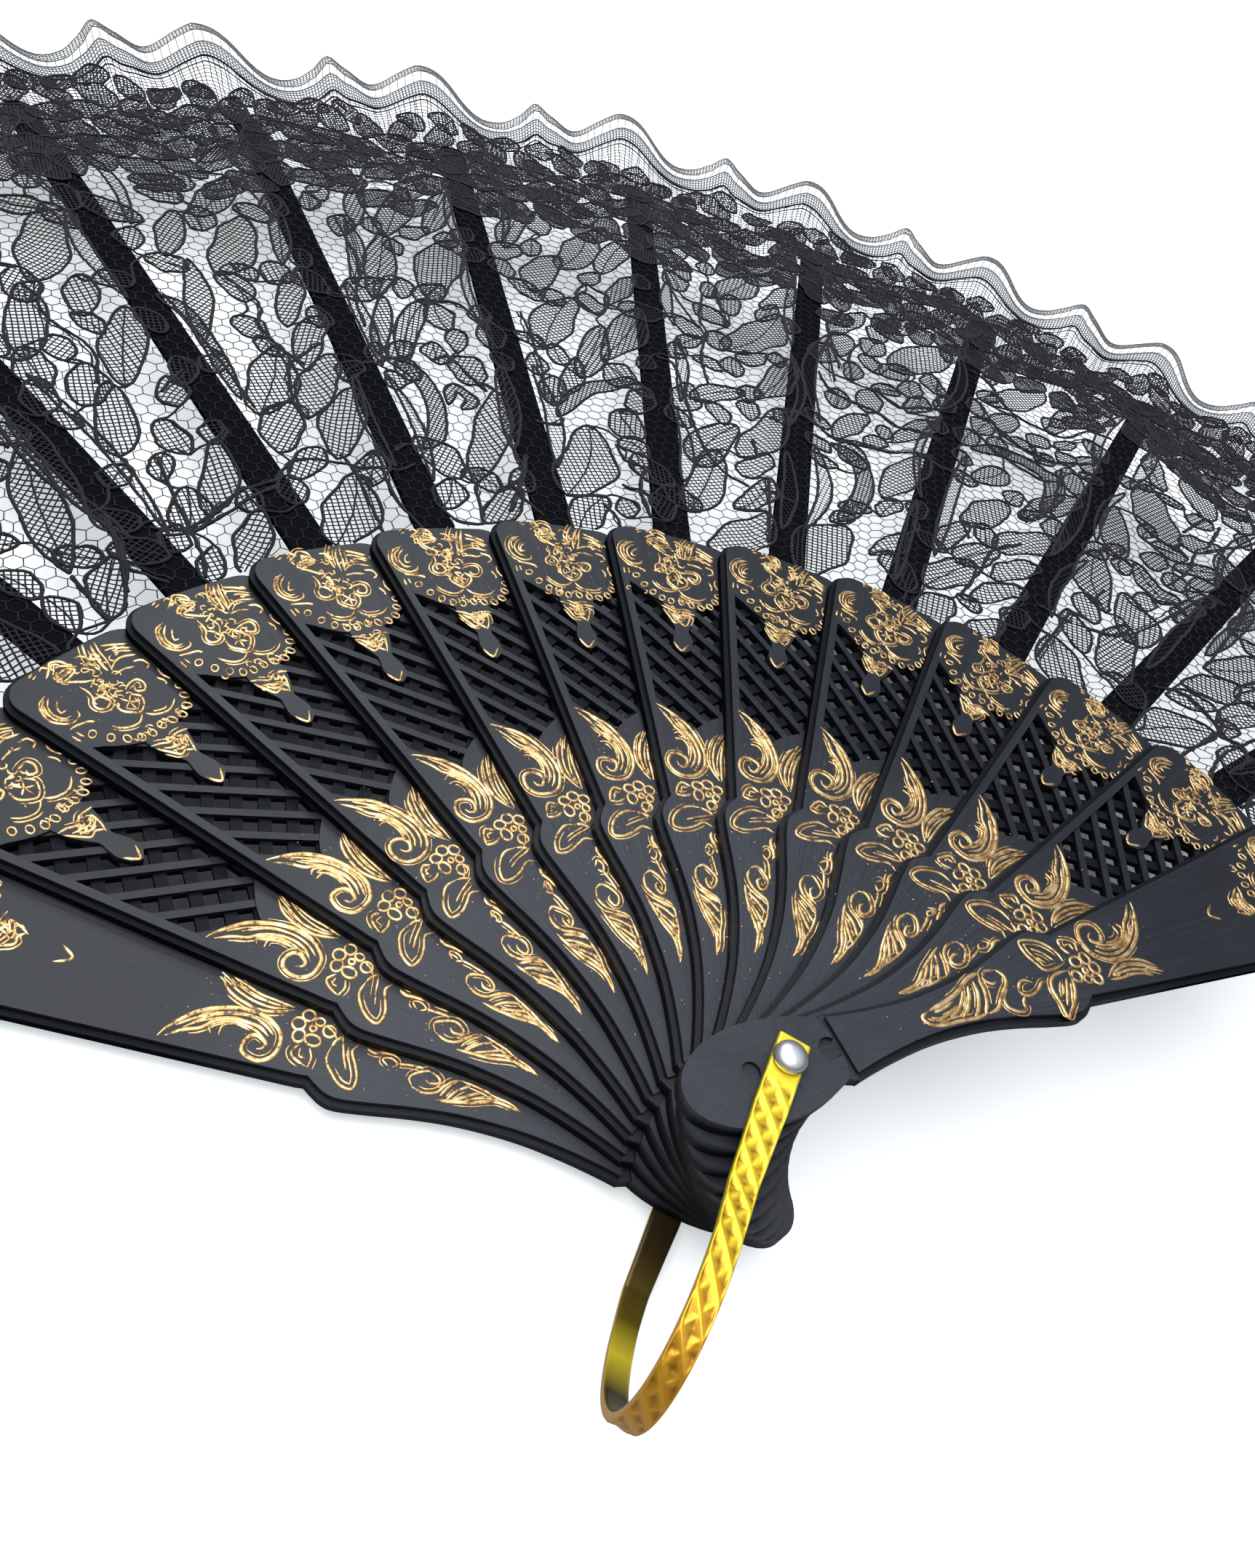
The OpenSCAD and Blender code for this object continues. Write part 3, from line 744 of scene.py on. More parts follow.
def loop():
    n, m = 620, 26                      # sections along the band, points across it
    path = loop_path()
    lengths = arc_lengths(path)
    end = lengths[-1]
    stations = np.linspace(0, end, n)
    middle = sample(path, lengths, stations)
    outward = unit(sample(normals(path), lengths, stations))
    reach = middle[:, :1]
    S, V = np.meshgrid(stations, np.linspace(-1, 1, m), indexing="ij")
    taper = 1.0 - 0.24 * np.clip((reach - 6.0) / 14.0, 0, 1) ** .8
    relief = embossing(S, V, reach, end)
    angle = math.radians(LOOP_DIR)
    c, s = math.cos(angle), math.sin(angle)

    def face(offset):
        r = reach + outward[:, :1] * offset
        z = middle[:, 1:] + outward[:, 1:] * offset
        w = V * taper * BAND_W / 2
        return np.stack([r * c - w * s, r * s + w * c, z], -1).reshape(-1, 3)

    side = np.clip((1 - np.abs(V)) / .10, 0, 1)
    outer = face(BAND_T / 2 - EMBOSS + EMBOSS * relief * (0.55 + 0.45 * side))
    inner = face(-BAND_T / 2 + 0.10 * np.clip(np.abs(V) - .8, 0, 1) / .2)

    hole = (np.hypot(reach, V * BAND_W / 2) < EYE_HOLE) & ((S < 8) | (S > end - 8))
    keep = ~(hole[:-1, :-1] | hole[1:, :-1] | hole[:-1, 1:] | hole[1:, 1:])
    I, J = np.meshgrid(np.arange(n - 1), np.arange(m - 1), indexing="ij")
    I, J = I[keep], J[keep]
    N = n * m
    outer_quads = np.stack([I * m + J, I * m + J + 1, (I + 1) * m + J + 1, (I + 1) * m + J], 1)
    inner_quads = outer_quads[:, ::-1] + N

    def wall(a, b):
        return np.stack([a, b, b + N, a + N], 1)

    i = np.arange(n - 1) * m
    j = np.arange(m - 1)
    tail = (n - 1) * m + j
    walls = np.concatenate([wall(i, i + m), wall(i + 2 * m - 1, i + m - 1),
                            wall(j + 1, j), wall(tail, tail + 1)])
    quads = np.concatenate([outer_quads, inner_quads, walls])
    material_index = np.repeat([0, 1, 0], [len(outer_quads), len(inner_quads), len(walls)])
    obj = make_mesh("loop_band", np.concatenate([outer, inner]), quads, [BAND, BAND_INNER],
                    material_index,
                    {"ridge": np.concatenate([relief.ravel(), np.full(N, .8)]),
                     "along": np.tile((S / end).ravel(), 2)})
    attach(obj, "bail_loop")
    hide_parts("bail_loop")


loop()

# ---------------------------------------------------------------- lace leaf: the pattern
# The leaf is drawn flat in (K, r): K counts sticks from the rear guard, r is the distance
# from the rivet in mm. Gap k lies between sticks k and k + 1.
# Leaves of the drawn gaps: 'width: K,r K,r', the shape's two tips.
LEAVES = {
    3: """5: 3.53,110.5 3.88,124.5; 5: 3.45,99 3.85,108.5; 3.5: 3.2,99 3.42,105;
        6: 3.3,126 3.55,142; 6.5: 3.62,140 3.9,158; 6: 3.25,150 3.5,168;
        8: 3.55,168 3.85,186""",
    4: """8: 4.22,99 4.66,113.5; 4.6: 4.2,114 4.52,120; 6.5: 4.22,120 4.5,131.5;
        7.5: 4.25,129 4.6,146; 6: 4.54,127 4.88,142; 6.5: 4.58,117 4.93,133;
        5: 4.7,139 4.95,153; 4.5: 4.72,151 4.9,166; 7.5: 4.48,166 4.77,184;
        4.2: 4.17,147 4.38,171; 5: 4.28,172 4.45,186; 6: 4.55,184 4.8,197;
        3.5: 4.86,168 4.97,186""",
    5: """6: 5.5,109.5 5.87,133; 5: 5.45,100 5.8,109; 3.6: 5.86,117 5.96,141;
        4.5: 5.33,141 5.63,161; 3.5: 5.19,143 5.37,161; 5.5: 5.3,160 5.52,183;
        8.5: 5.66,160 5.95,182; 6: 5.52,181 5.72,201; 5: 5.76,183 5.93,200;
        3: 5.22,164 5.33,186; 4: 5.38,184 5.5,200""",
    6: """9.5: 6.2,107 6.5,127; 6: 6.22,97.5 6.52,108; 4: 6.35,135 6.5,148;
        5.5: 6.5,141.5 6.72,161; 7.5: 6.3,149 6.56,169; 7: 6.68,149 6.97,169;
        6.5: 6.3,169 6.52,184; 7: 6.5,179 6.72,197; 5.5: 6.76,180 6.95,196;
        4: 6.76,168 6.95,181; 5: 6.2,183 6.36,200""",
    7: """6.5: 7.2,107.5 7.45,127.5; 7.5: 7.28,121 7.6,137; 5.2: 7.64,121.5 7.82,129.5;
        5: 7.58,111 7.86,121.5; 7.5: 7.38,97.5 7.86,111; 7: 7.62,127 7.9,146;
        5: 7.27,142 7.66,149.5; 9: 7.53,163 7.86,183; 6: 7.74,148 7.95,166;
        7: 7.45,183 7.7,199; 5: 7.76,184 7.93,199; 4: 7.18,189 7.33,203""",
    8: """9: 8.14,97.5 8.5,115.5; 6.5: 8.72,129 8.96,148; 5: 8.3,143 8.5,156;
        10: 8.58,179 8.92,196; 4.5: 8.72,110 8.95,119; 5: 8.7,150 8.95,163;
        5: 8.17,184 8.38,200; 6: 8.45,196 8.7,206; 3.4: 8.36,115.5 8.52,120""",
    9: """6.5: 9.3,132 9.56,146; 7.5: 9.58,128.5 9.97,141; 6: 9.38,118.5 9.63,128.5;
        5.5: 9.66,119 9.95,128; 6.5: 9.2,107 9.5,121; 5: 9.58,109 9.93,119;
        6.5: 9.2,97.5 9.45,107; 5: 9.62,97.5 9.9,106; 4.2: 9.22,120 9.36,133;
        6: 9.68,144 9.97,160; 7: 9.2,182 9.5,200; 7: 9.6,186 9.93,202""",
}
# Cords: 'K,r K,r ...' parted by semicolons.
CORDS = {
    3: """3.13,111.5 3.3,109.5 3.5,110.2 3.7,112.5 4.1,114; 3.13,110 3.35,108.5 3.6,109.8 4.1,113;
        3.78,137 3.97,141; 3.2,100 3.3,104 3.42,116 3.5,124; 3.5,142 3.6,150 3.5,160 3.6,168""",
    4: """4.1,114 4.3,118 4.6,116 4.92,112.5 5.1,114; 4.62,99 4.66,114 4.62,118;
        4.92,99 4.82,107 4.87,119; 4.6,146 4.56,152 4.63,158 4.5,167;
        4.5,131 4.62,141 4.86,145; 4.14,161 4.2,150 4.25,131; 4.6,146 4.7,141""",
    5: """5.65,161 5.78,160 5.88,155 5.97,146; 5.5,109 5.45,100;
        5.85,118 5.9,112 5.8,106 5.95,101; 5.7,103 5.85,110 5.95,116;
        5.52,142 5.66,143 5.8,133; 5.18,151 5.2,160 5.3,170 5.28,186;
        5.5,183 5.45,196 5.56,208; 5.0,117 5.1,119 5.2,118""",
    6: """6.1,126 6.25,126 6.32,128; 6.68,123 6.75,118 6.86,116 6.93,113;
        6.86,116 6.8,110 6.85,103; 6.68,112 6.8,110 6.95,107;
        6.66,176 6.58,170 6.7,165 6.78,171 6.66,176; 6.5,106 6.58,103 6.62,99;
        6.2,160 6.25,145 6.22,133""",
    7: """7.05,153 7.17,152 7.23,142 7.33,129 7.5,121 7.7,119;
        7.38,183 7.36,172 7.4,168 7.36,158 7.4,149; 7.14,192 7.2,180 7.35,169;
        7.53,172 7.48,183; 7.75,128 7.72,134; 7.83,121 7.85,112 7.86,103; 7.78,118 8.05,117""",
    8: """8.0,147 8.14,146 8.3,143 8.5,144 8.7,146 9.0,149;
        8.14,166 8.22,161 8.35,159.5 8.55,159 8.75,156.5 9.0,157;
        8.52,168 8.6,165.5 8.75,165 8.93,168.5; 8.17,180 8.25,165;
        8.38,186 8.32,178 8.36,168; 8.14,190 8.2,180 8.27,171; 8.88,180 8.92,170""",
    9: """9.05,193 9.17,192 9.32,185 9.45,182.5 9.7,184 9.8,190 9.95,193;
        9.17,181 9.35,172 9.6,170.5 9.85,174 10.0,183;
        9.2,168 9.4,163 9.75,162 9.83,168 10.0,171; 9.78,168 9.82,152 9.72,143;
        9.3,133 9.4,128; 9.5,109 9.56,118 9.6,128 9.75,134; 9.9,100 9.86,108 9.95,118""",
}
# Arched bands: 'width: K,r K,r ...'.
ARCHES = {
    4: "2.6: 4.1,161 4.2,156 4.22,146 4.2,133",
    5: """3.0: 5.22,118 5.36,122 5.43,130 5.38,138 5.22,142;
        2.0: 5.52,129.5 5.6,134.5 5.7,131 5.6,128.5""",
    6: "3.2: 6.28,128.5 6.42,134.5 6.58,139 6.82,141.5 6.98,137.5",
    8: "3.4: 8.42,116.5 8.52,122 8.57,131 8.47,138.5 8.28,141",
    9: "3.6: 9.2,160 9.4,164.5 9.7,164.5 9.8,158 9.78,148",
}
# the other gaps repeat a drawn one: gap -> (drawn gap, mirrored)
REPEAT = {0: (6, False), 1: (8, True), 2: (5, False),
          10: (7, True), 11: (4, False), 12: (9, True)}
# outer edge over one gap: shallow scallops with narrow peaks; shares of a gap, radii
EDGE_U = (0, .06, .12, .21, .30, .36, .43, .50, .56, .67, .77, .86, .93, 1)
EDGE_R = (245.0, 243, 241.6, 240.6, 239.0, 238.2, 239.5,
          243.5, 240.8, 242.8, 244.6, 246.6, 247.4, 245.0)
# petal rows of the dark border: radius, petal width, petal length
BORDER_ROWS = [(196, 6.0, 10), (201.5, 6.2, 10), (207, 6.4, 11), (212.5, 6.4, 11),
               (218, 6.2, 10), (223.5, 5.6, 9), (227.5, 4.6, 7)]
BORDER_SPACING = .59
K_START, K_END = -0.05, LAST + .03      # the leaf runs slightly past both guards


def kr_to_xy(K, r):
    a = angle_at(K)
    return np.stack([r * np.cos(a), r * np.sin(a)], -1)


def xy_to_kr(p):
    a = np.degrees(np.arctan2(p[..., 1], p[..., 0]))
    return (90 + SPREAD * LAST / 2 - a) / SPREAD, np.hypot(p[..., 0], p[..., 1])


def gap_of(K):
    return np.clip(np.floor(K).astype(int), 0, LAST - 1)


def edge_r(K):
    """Radius of the outer edge."""
    K = np.asarray(K, float)
    return np.interp(np.mod(K, 1.0), EDGE_U, EDGE_R) + (
        1.1 * np.sin(K * 2.7 + 1)) + 1.2 * np.sin(K * 5.3 + 2)


def mid_r(K):
    """Radius of the line where the dark border meets the edging."""
    return 231.6 + .7 * (edge_r(K) - 241)


# A shape filled with crossed threads; spine is its middle line, or None.
Patch = namedtuple("Patch", "outline spine spacing thread seed")


def leaf_shape(start, end, width, seed):
    """Outline and middle line of a slightly bent, uneven leaf between two tips."""
    g = np.random.RandomState(seed)
    length = np.hypot(*(end - start))
    along = unit(end - start)
    across = left_of(along)
    t = np.linspace(0, 1, 15)
    bend = g.uniform(-.10, .10) * length * np.sin(math.pi * t)

    def half_width():
        return width / 2 * np.sin(math.pi * t ** g.uniform(.75, 1.2)) ** .62 * (
            1 + .10 * np.sin(t * math.pi * g.randint(2, 5) + g.uniform(0, 6)))

    left, right = half_width(), half_width()
    spine = start + np.outer(t * length, along) + np.outer(bend, across)
    outline = np.concatenate([spine + np.outer(left, across),
                              (spine - np.outer(right, across))[::-1][1:-1]])
    return outline, spine


def band_outline(line, width):
    p = catmull(line, 5)
    t = np.linspace(0, 1, len(p))
    taper = (np.clip(np.minimum(t, 1 - t) * 5, 0, 1) ** .5)[:, None]
    offset = normals(p) * (taper * width / 2)
    return np.concatenate([p + offset, (p - offset)[::-1][1:-1]])


def petal(K, r, turn, width, length, spacing, thread):
    """Leaf patch centred on (K, r), turned from the outward direction."""
    centre = kr_to_xy(K, r)
    angle = angle_at(K) + turn
    half = np.array([math.cos(angle), math.sin(angle)]) * length / 2
    seed = next(seeds)
    return Patch(*leaf_shape(centre - half, centre + half, width, seed), spacing, thread, seed)


def inside(outline, places):
    """Which places lie inside an outline."""
    x, y = places[:, 0], places[:, 1]
    result = np.zeros(len(places), bool)
    for (x0, y0), (x1, y1) in zip(outline, np.roll(outline, -1, 0)):
        if y0 != y1:
            result ^= ((y0 > y) != (y1 > y)) & (x < (x1 - x0) * (y - y0) / (y1 - y0) + x0)
    return result


def hatch(outline, angle, spacing):
    """Parallel lines inside an outline, each as its two ends."""
    c, s = math.cos(angle), math.sin(angle)
    turn = np.array([[c, s], [-s, c]])
    a = outline @ turn.T
    b = np.roll(a, -1, 0)
    lines = []
    low, high = a[:, 1].min(), a[:, 1].max()
    for y in np.arange(math.floor(low / spacing) * spacing, high, spacing):
        m = (a[:, 1] > y) != (b[:, 1] > y)
        if not m.any():
            continue
        xs = np.sort(a[m, 0] + (y - a[m, 1]) * (b[m, 0] - a[m, 0]) / (b[m, 1] - a[m, 1]))
        for i in range(0, len(xs) - 1, 2):
            if xs[i + 1] - xs[i] > .25:
                lines.append(np.array([[xs[i], y], [xs[i + 1], y]]) @ turn)
    return lines


runs = [[] for _ in range(LAST)]    # per gap: (points, width, lift, material index)
seeds = itertools.count(1001)
patches = []
border = []


def lay(path, width, lift, step, material=0, wobble=0.0, g=None):
    """Lay a thread on the leaf, cut where it leaves the leaf or crosses a stick."""
    p = np.asarray(path, float)
    lengths = arc_lengths(p)
    if lengths[-1] < 1e-6:
        return
    n = max(1, int(math.ceil(lengths[-1] / step)))
    q = sample(p, lengths, np.linspace(0, lengths[-1], n + 1))
    if wobble:
        q[1:-1] += g.normal(0, wobble, q[1:-1].shape)
    K, r = xy_to_kr((q[1:] + q[:-1]) / 2)
    gap = gap_of(K)
    on_leaf = (K > -0.06) & (K < LAST + 0.04) & (r > 99.2) & (r < edge_r(K) + 0.5)
    i = 0
    while i < n:
        if not on_leaf[i]:
            i += 1
            continue
        j = i
        while j < n and on_leaf[j] and gap[j] == gap[i]:
            j += 1
        runs[gap[i]].append((q[i:j + 1], width, lift, material))
        i = j


def gap_pattern(k):
    """The drawn leaves, arches and cords of gap k."""
    source, mirrored = REPEAT.get(k, (k, False))

    def placed(line):
        shares = [(K - source, r) for K, r in line]
        return [kr_to_xy(k + (1 - u + .12 if mirrored else u), r) for u, r in shares]

    for width, tips in stroke_table(LEAVES[source]):
        seed = next(seeds)
        shape = leaf_shape(*placed(tips), width * 1.02, seed)
        patches.append(Patch(*shape, 0.82, 0.25, seed))
    if source in ARCHES:
        for width, line in stroke_table(ARCHES[source]):
            outline = band_outline(placed(line), width)
            patches.append(Patch(outline, None, 0.64, 0.24, next(seeds)))
    for text in CORDS[source].split(";"):
        g = np.random.RandomState(next(seeds))
        path = catmull(placed(points(text)), 6)
        lay(path, 0.62, .12, 1.1, wobble=.10, g=g)
        lay(path + g.normal(0, .35, 2), 0.34, .08, 1.1, wobble=.18, g=g)


def rib_strips():
    """Narrow strips beside the ribs."""
    g = np.random.RandomState(5)
    for k in range(LAST):
        for side in (0.185, 0.955):
            r = 104 + g.uniform(0, 14)
            while r < 192:
                length = g.uniform(18, 40)
                seed = next(seeds)
                K = k + side + g.uniform(-.012, .012)
                if g.rand() < .72:
                    start = kr_to_xy(K + g.uniform(-.012, .012), r)
                    end = kr_to_xy(K + g.uniform(-.012, .012), r + length)
                    outline, _ = leaf_shape(start, end, g.uniform(1.4, 2.8), seed)
                    patches.append(Patch(outline, None, .8, .16, seed))
                r += length + g.uniform(1, 12)


def border_petals():
    """Dark border: overlapping petals in staggered rows, sparser in the first two."""
    g = np.random.RandomState(11)
    for row, (row_r, width, length) in enumerate(BORDER_ROWS):
        K = 0.0 + .09 * row
        while K < LAST:
            r = row_r + g.uniform(-2.2, 2.2) + (3.0 * math.sin(K * 5.1) if row == 0 else 0)
            if g.rand() < (.55 if row == 0 else .80 if row == 1 else .95):
                turn = g.uniform(-.9, .9) if row % 2 else g.uniform(.5, 2.4)
                border.append(petal(K, r, turn, width, length, BORDER_SPACING, .265))
            K += g.uniform(.13, .19)


def size_of(outline):
    """Radius of the circle with the outline's area."""
    a, b = outline, np.roll(outline, -1, 0)
    return math.sqrt(abs((a[:, 0] * b[:, 1] - b[:, 0] * a[:, 1]).sum()) / 2 / math.pi)


def fill_leaves(g):
    """Smaller leaves on most of the ground that is left, more of them outwards."""
    centres = [patch.outline.mean(0) for patch in patches]
    radii = [size_of(patch.outline) for patch in patches]
    for k in range(LAST):
        for _ in range(1500):
            K, r = g.uniform(k + .15, k + .985), 103 + 93 * g.uniform(0, 1) ** .8
            if g.rand() > .25 + .75 * min(1, max(0, (r - 112) / 60)):
                continue
            centre = kr_to_xy(K, r)
            width = g.uniform(3.6, 6.4)
            length = width * g.uniform(1.35, 1.9)
            radius = math.sqrt(width * length) / 2
            distance = np.hypot(*(np.array(centres) - centre).T)
            if (distance < (np.array(radii) + radius) * .93).any():
                continue
            patches.append(petal(K, r, g.normal(0, .55), width, length, .80, .24))
            centres.append(centre)
            radii.append(radius)


def tie_cords(g):
    """Cords from each leaf's tips to the nearest tip of another leaf."""
    spines = [patch.spine for patch in patches if patch.spine is not None]
    tips = np.array([tip for spine in spines for tip in (spine[0], spine[-1])])
    owner = np.repeat(np.arange(len(spines)), 2)
    for i, tip in enumerate(tips):
        distance = np.hypot(*(tips - tip).T)
        distance[owner == owner[i]] = 99
        j = int(np.argmin(distance))
        if .4 < distance[j] < 9.0 and (j > i or g.rand() < .5):
            v = tips[j] - tip
            t = np.linspace(0, 1, 7)[:, None]
            bow = left_of(v) * g.uniform(-.28, .28) * np.sin(math.pi * t)
            lay(tip + v * t + bow, .48, .12, 1.2, wobble=.07, g=g)


def weave_patch(patch):
    """Crossed threads, a cord round the outline and sometimes one down the middle."""
    outline, spine, spacing, thread, seed = patch
    g = np.random.RandomState(seed)
    dark = spacing == BORDER_SPACING
    angle = g.uniform(-.25, .25) + (0.4 if g.rand() < .5 else -.3)
    lift = g.uniform(.0, .18) if dark else .05
    for line in hatch(outline, angle, spacing):
        lay(line, thread, lift, 2.2, wobble=.05, g=g)
    for line in hatch(outline, angle + math.pi / 2 + g.uniform(-.12, .12), spacing * 1.05):
        lay(line, thread, lift + .05, 2.2, wobble=.05, g=g)
    ring = catmull(np.concatenate([outline, outline[:1]]), 2)
    lay(ring, .52 if dark else .56, lift + .12, .9, wobble=.05, g=g)
    if spine is not None and g.rand() < (.3 if dark else .45):
        lay(spine, .30, lift + .10, 1.3, wobble=.06, g=g)


def stations(step):
    K = K_START
    while K < K_END:
        yield K
        K += step


def edging():
    """Border ground and scalloped edging: lines that follow the edge, then short spokes."""
    g = np.random.RandomState(21)
    K_all = np.arange(K_START, K_END, 0.02)

    def follow(r, width, lift, material):
        lay(kr_to_xy(K_all, r), width, lift, 1.2, material=material)

    def spoke(K, drift, start, end, width, lift, **how):
        lay(kr_to_xy([K, K + drift], np.array([start, end])), width, lift, 3, **how)

    for offset, width in ((-.2, .36), (-.8, .24), (-1.4, .22), (-2.0, .24), (-2.6, .34)):
        follow(edge_r(K_all) + offset, width, .08, 1)
    for offset, width in ((4.2, .40), (0, .60), (.9, .26), (1.8, .26), (2.7, .26),
                          (3.5, .26), (-1.6, .35)):
        follow(mid_r(K_all) + offset, width, .07, 1 if offset > 1 else 0)
    for offset in np.arange(-31, 0, .95):
        r = mid_r(K_all) + offset
        follow(r + g.normal(0, .14, len(r)), .19 if offset > -26 else .15, .0, 0)
    for K in stations(.0135):
        edge, mid = edge_r(K), mid_r(K)
        spoke(K, .002, edge - 2.6, edge - .2, .25, .03, material=1)
        spoke(K, -.002, mid, mid + 4.2, .30, .03, material=1)
    for K in stations(.034):
        spoke(K, .01, mid_r(K) + 4.2, edge_r(K) - 1.9, .17, .02, material=1)
    for K in stations(.0215):
        mid = mid_r(K)
        drift = g.uniform(-.01, .01)
        start = mid - 27 + 4 * math.sin(K * 9.0) + g.uniform(-2, 2)
        spoke(K, drift, start, mid, .19, .0, wobble=.1, g=g)


for k in range(LAST):
    gap_pattern(k)
rib_strips()
border_petals()
fill_rng = np.random.RandomState(77)
fill_leaves(fill_rng)
tie_cords(fill_rng)
for patch in patches + border:
    weave_patch(patch)
edging()

# ---------------------------------------------------------------- lace leaf: the net
NET_CELL = 2.42         # hexagons, across the flats
NET_THREAD = .155
NET_TURN = .21          # radians


def warp(p):
    """Turn the net and pull it gently out of true."""
    c, s = math.cos(NET_TURN), math.sin(NET_TURN)
    x, y = p[..., 0] * c - p[..., 1] * s, p[..., 0] * s + p[..., 1] * c
    return np.stack([x + .55 * np.sin(y / 9.0 + x / 23.0) + .35 * np.sin(x / 5.1 + 1.3),
                     y + .55 * np.sin(x / 8.3 - y / 19.0) + .30 * np.sin(y / 4.7)], -1)


def net():
    """Starts and ends of the hexagonal net's threads, left out under the patches."""
    side = NET_CELL / math.sqrt(3)
    columns = int(500 / NET_CELL) + 2
    rows = int(260 / (1.5 * side)) + 2
    iy, ix = np.meshgrid(np.arange(-4, rows + 30),
                         np.arange(-columns // 2 - 30, columns // 2 + 30), indexing="ij")
    cx = (ix + .5 * (iy % 2)) * NET_CELL
    cy = iy * 1.5 * side
    top = np.stack([cx, cy + side], -1)
    bottom = np.stack([cx, cy - side], -1)
    # from each cell's top: up to the cell two rows on, and down its own two slopes
    starts, ends = [top[:-2]], [bottom[2:]]
    for sign in (-1, 1):
        starts.append(top)
        ends.append(np.stack([cx + sign * NET_CELL / 2, cy + side / 2], -1))
    starts, ends = (warp(np.concatenate([p.reshape(-1, 2) for p in group]))
                    for group in (starts, ends))
    middle = (starts + ends) / 2
    K, r = xy_to_kr(middle)
    keep = ((K > K_START) & (K < K_END) & (r > 99.6) & (r < 203)
            & (np.hypot(*(ends - starts).T) < 3))
    for patch in patches + border:
        centre = patch.outline.mean(0)
        radius = np.hypot(*(patch.outline - centre).T).max()
        near = np.where(keep & (np.hypot(*(middle - centre).T) < radius))[0]
        if len(near):
            keep[near[inside(patch.outline, middle[near])]] = False
    return starts[keep], ends[keep]


net_starts, net_ends = net()
net_gap = gap_of(xy_to_kr((net_starts + net_ends) / 2)[0])


# ---------------------------------------------------------------- lace leaf: the panels
def smooth01(x):
    x = np.clip(x, 0, 1)
    return x * x * (3 - 2 * x)


def height(k, K, r):
    """Height of the fabric over gap k: on stick k, then climbing to lap over stick k + 1."""
    u = K - k
    over_rib = RIB_T + .13
    next_z = BACK_Z + (k + 1) * PITCH
    on_stick = BACK_Z + k * PITCH + over_rib
    under_next = next_z - (.50 if k == LAST - 1 else .34)
    z = on_stick + (under_next - on_stick) * smooth01((u - .22) / .42)
    if k < LAST - 1:
        z = z + (next_z + over_rib - under_next) * smooth01((u - .69) / .15)
    # the rim waves up and down, with crests over the sticks and half way between,
    # so that folded gaps nest
    return z + smooth01((r - 221) / 22.0) * (2.9 + 2.4 * np.cos(u * 4 * math.pi))


def weight(u):
    """How far the fabric follows the next stick."""
    return np.clip(2 * (u - .25), 0, 1) * .6 + .4 * smooth01((u - .2) / .6)


def diamonds(path, side, half_height, lift=0.0):
    """A diamond section of four points round each point of a path."""
    ring = np.empty((len(path), 4, 3))
    for corner, (across, up) in enumerate(((1, 0), (0, 1), (-1, 0), (0, -1))):
        ring[:, corner, :2] = path + across * side
        ring[:, corner, 2] = lift + up * half_height
    return ring


def tube_quads(starts):
    """Quads from the sections that begin at these vertices to the next ones."""
    return np.concatenate([np.stack([starts + c, starts + e, starts + 4 + e, starts + 4 + c], 1)
                           for c, e in ((0, 1), (1, 2), (2, 3), (3, 0))])


def lace_panel(k):
    verts, quads, material_index = [], [], []
    base = 0
    for path, width, lift, material in runs[k]:
        m = len(path)
        ring = diamonds(path, normals(path) * (width / 2), width * .85 / 2, lift)
        verts.append(ring.reshape(-1, 3))
        quads.append(tube_quads(np.arange(m - 1) * 4) + base)
        material_index.append(np.full(4 * (m - 1), material))
        base += m * 4
    start, end = net_starts[net_gap == k], net_ends[net_gap == k]
    along = unit(end - start)
    half = NET_THREAD / 2
    side = left_of(along) * half
    overlap = along * .04
    rings = np.concatenate([diamonds(start - overlap, side, half),
                            diamonds(end + overlap, side, half)], 1)
    verts.append(rings.reshape(-1, 3))
    quads.append(tube_quads(np.arange(len(start)) * 8) + base)
    material_index.append(np.zeros(4 * len(start), int))

    verts = np.concatenate(verts)
    K, r = xy_to_kr(verts[:, :2])
    verts[:, 2] += height(k, K, r)
    obj = make_mesh("lace_%02d" % (k + 1), verts, np.concatenate(quads), [LACE, EDGING],
                    np.concatenate(material_index))
    anchors = [(.16 * math.cos(a), .16 * math.sin(a), 0) for a in (angle_at(k), angle_at(k + 1))]
    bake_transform(obj, STICKS[k], STICKS[k + 1], *anchors)
    blend = obj.data.attributes["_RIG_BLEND"]
    blend.data.foreach_set("value", weight(K - k).astype(np.float32))
    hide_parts("leaf_panel_%02d" % (k + 1))


for k in range(LAST):
    lace_panel(k)

# ---------------------------------------------------------------- camera
scene = bpy.context.scene
forward = Vector((0.34247082, 0.62052631, -0.70545081)).normalized()
right = Vector((0.93317316, -0.13747366, 0.33209765)).normalized()
upward = (-forward).cross(right).normalized()
right = upward.cross(-forward).normalized()

camera_data = bpy.data.cameras.new("camera")
camera = bpy.data.objects.new("camera", camera_data)
scene.collection.objects.link(camera)
pose = Matrix((right, upward, -forward)).transposed().to_4x4()
pose.translation = Vector((-0.06040653, -0.05370974, 0.12823521 + BACK_Z * MM))
camera.matrix_world = pose
camera_data.sensor_fit = "HORIZONTAL"
camera_data.sensor_width = 36.0
camera_data.lens = 35.8962783
camera_data.clip_start = 0.001
camera_data.clip_end = 20.0
scene.camera = camera
scene.view_settings.view_transform = "Standard"


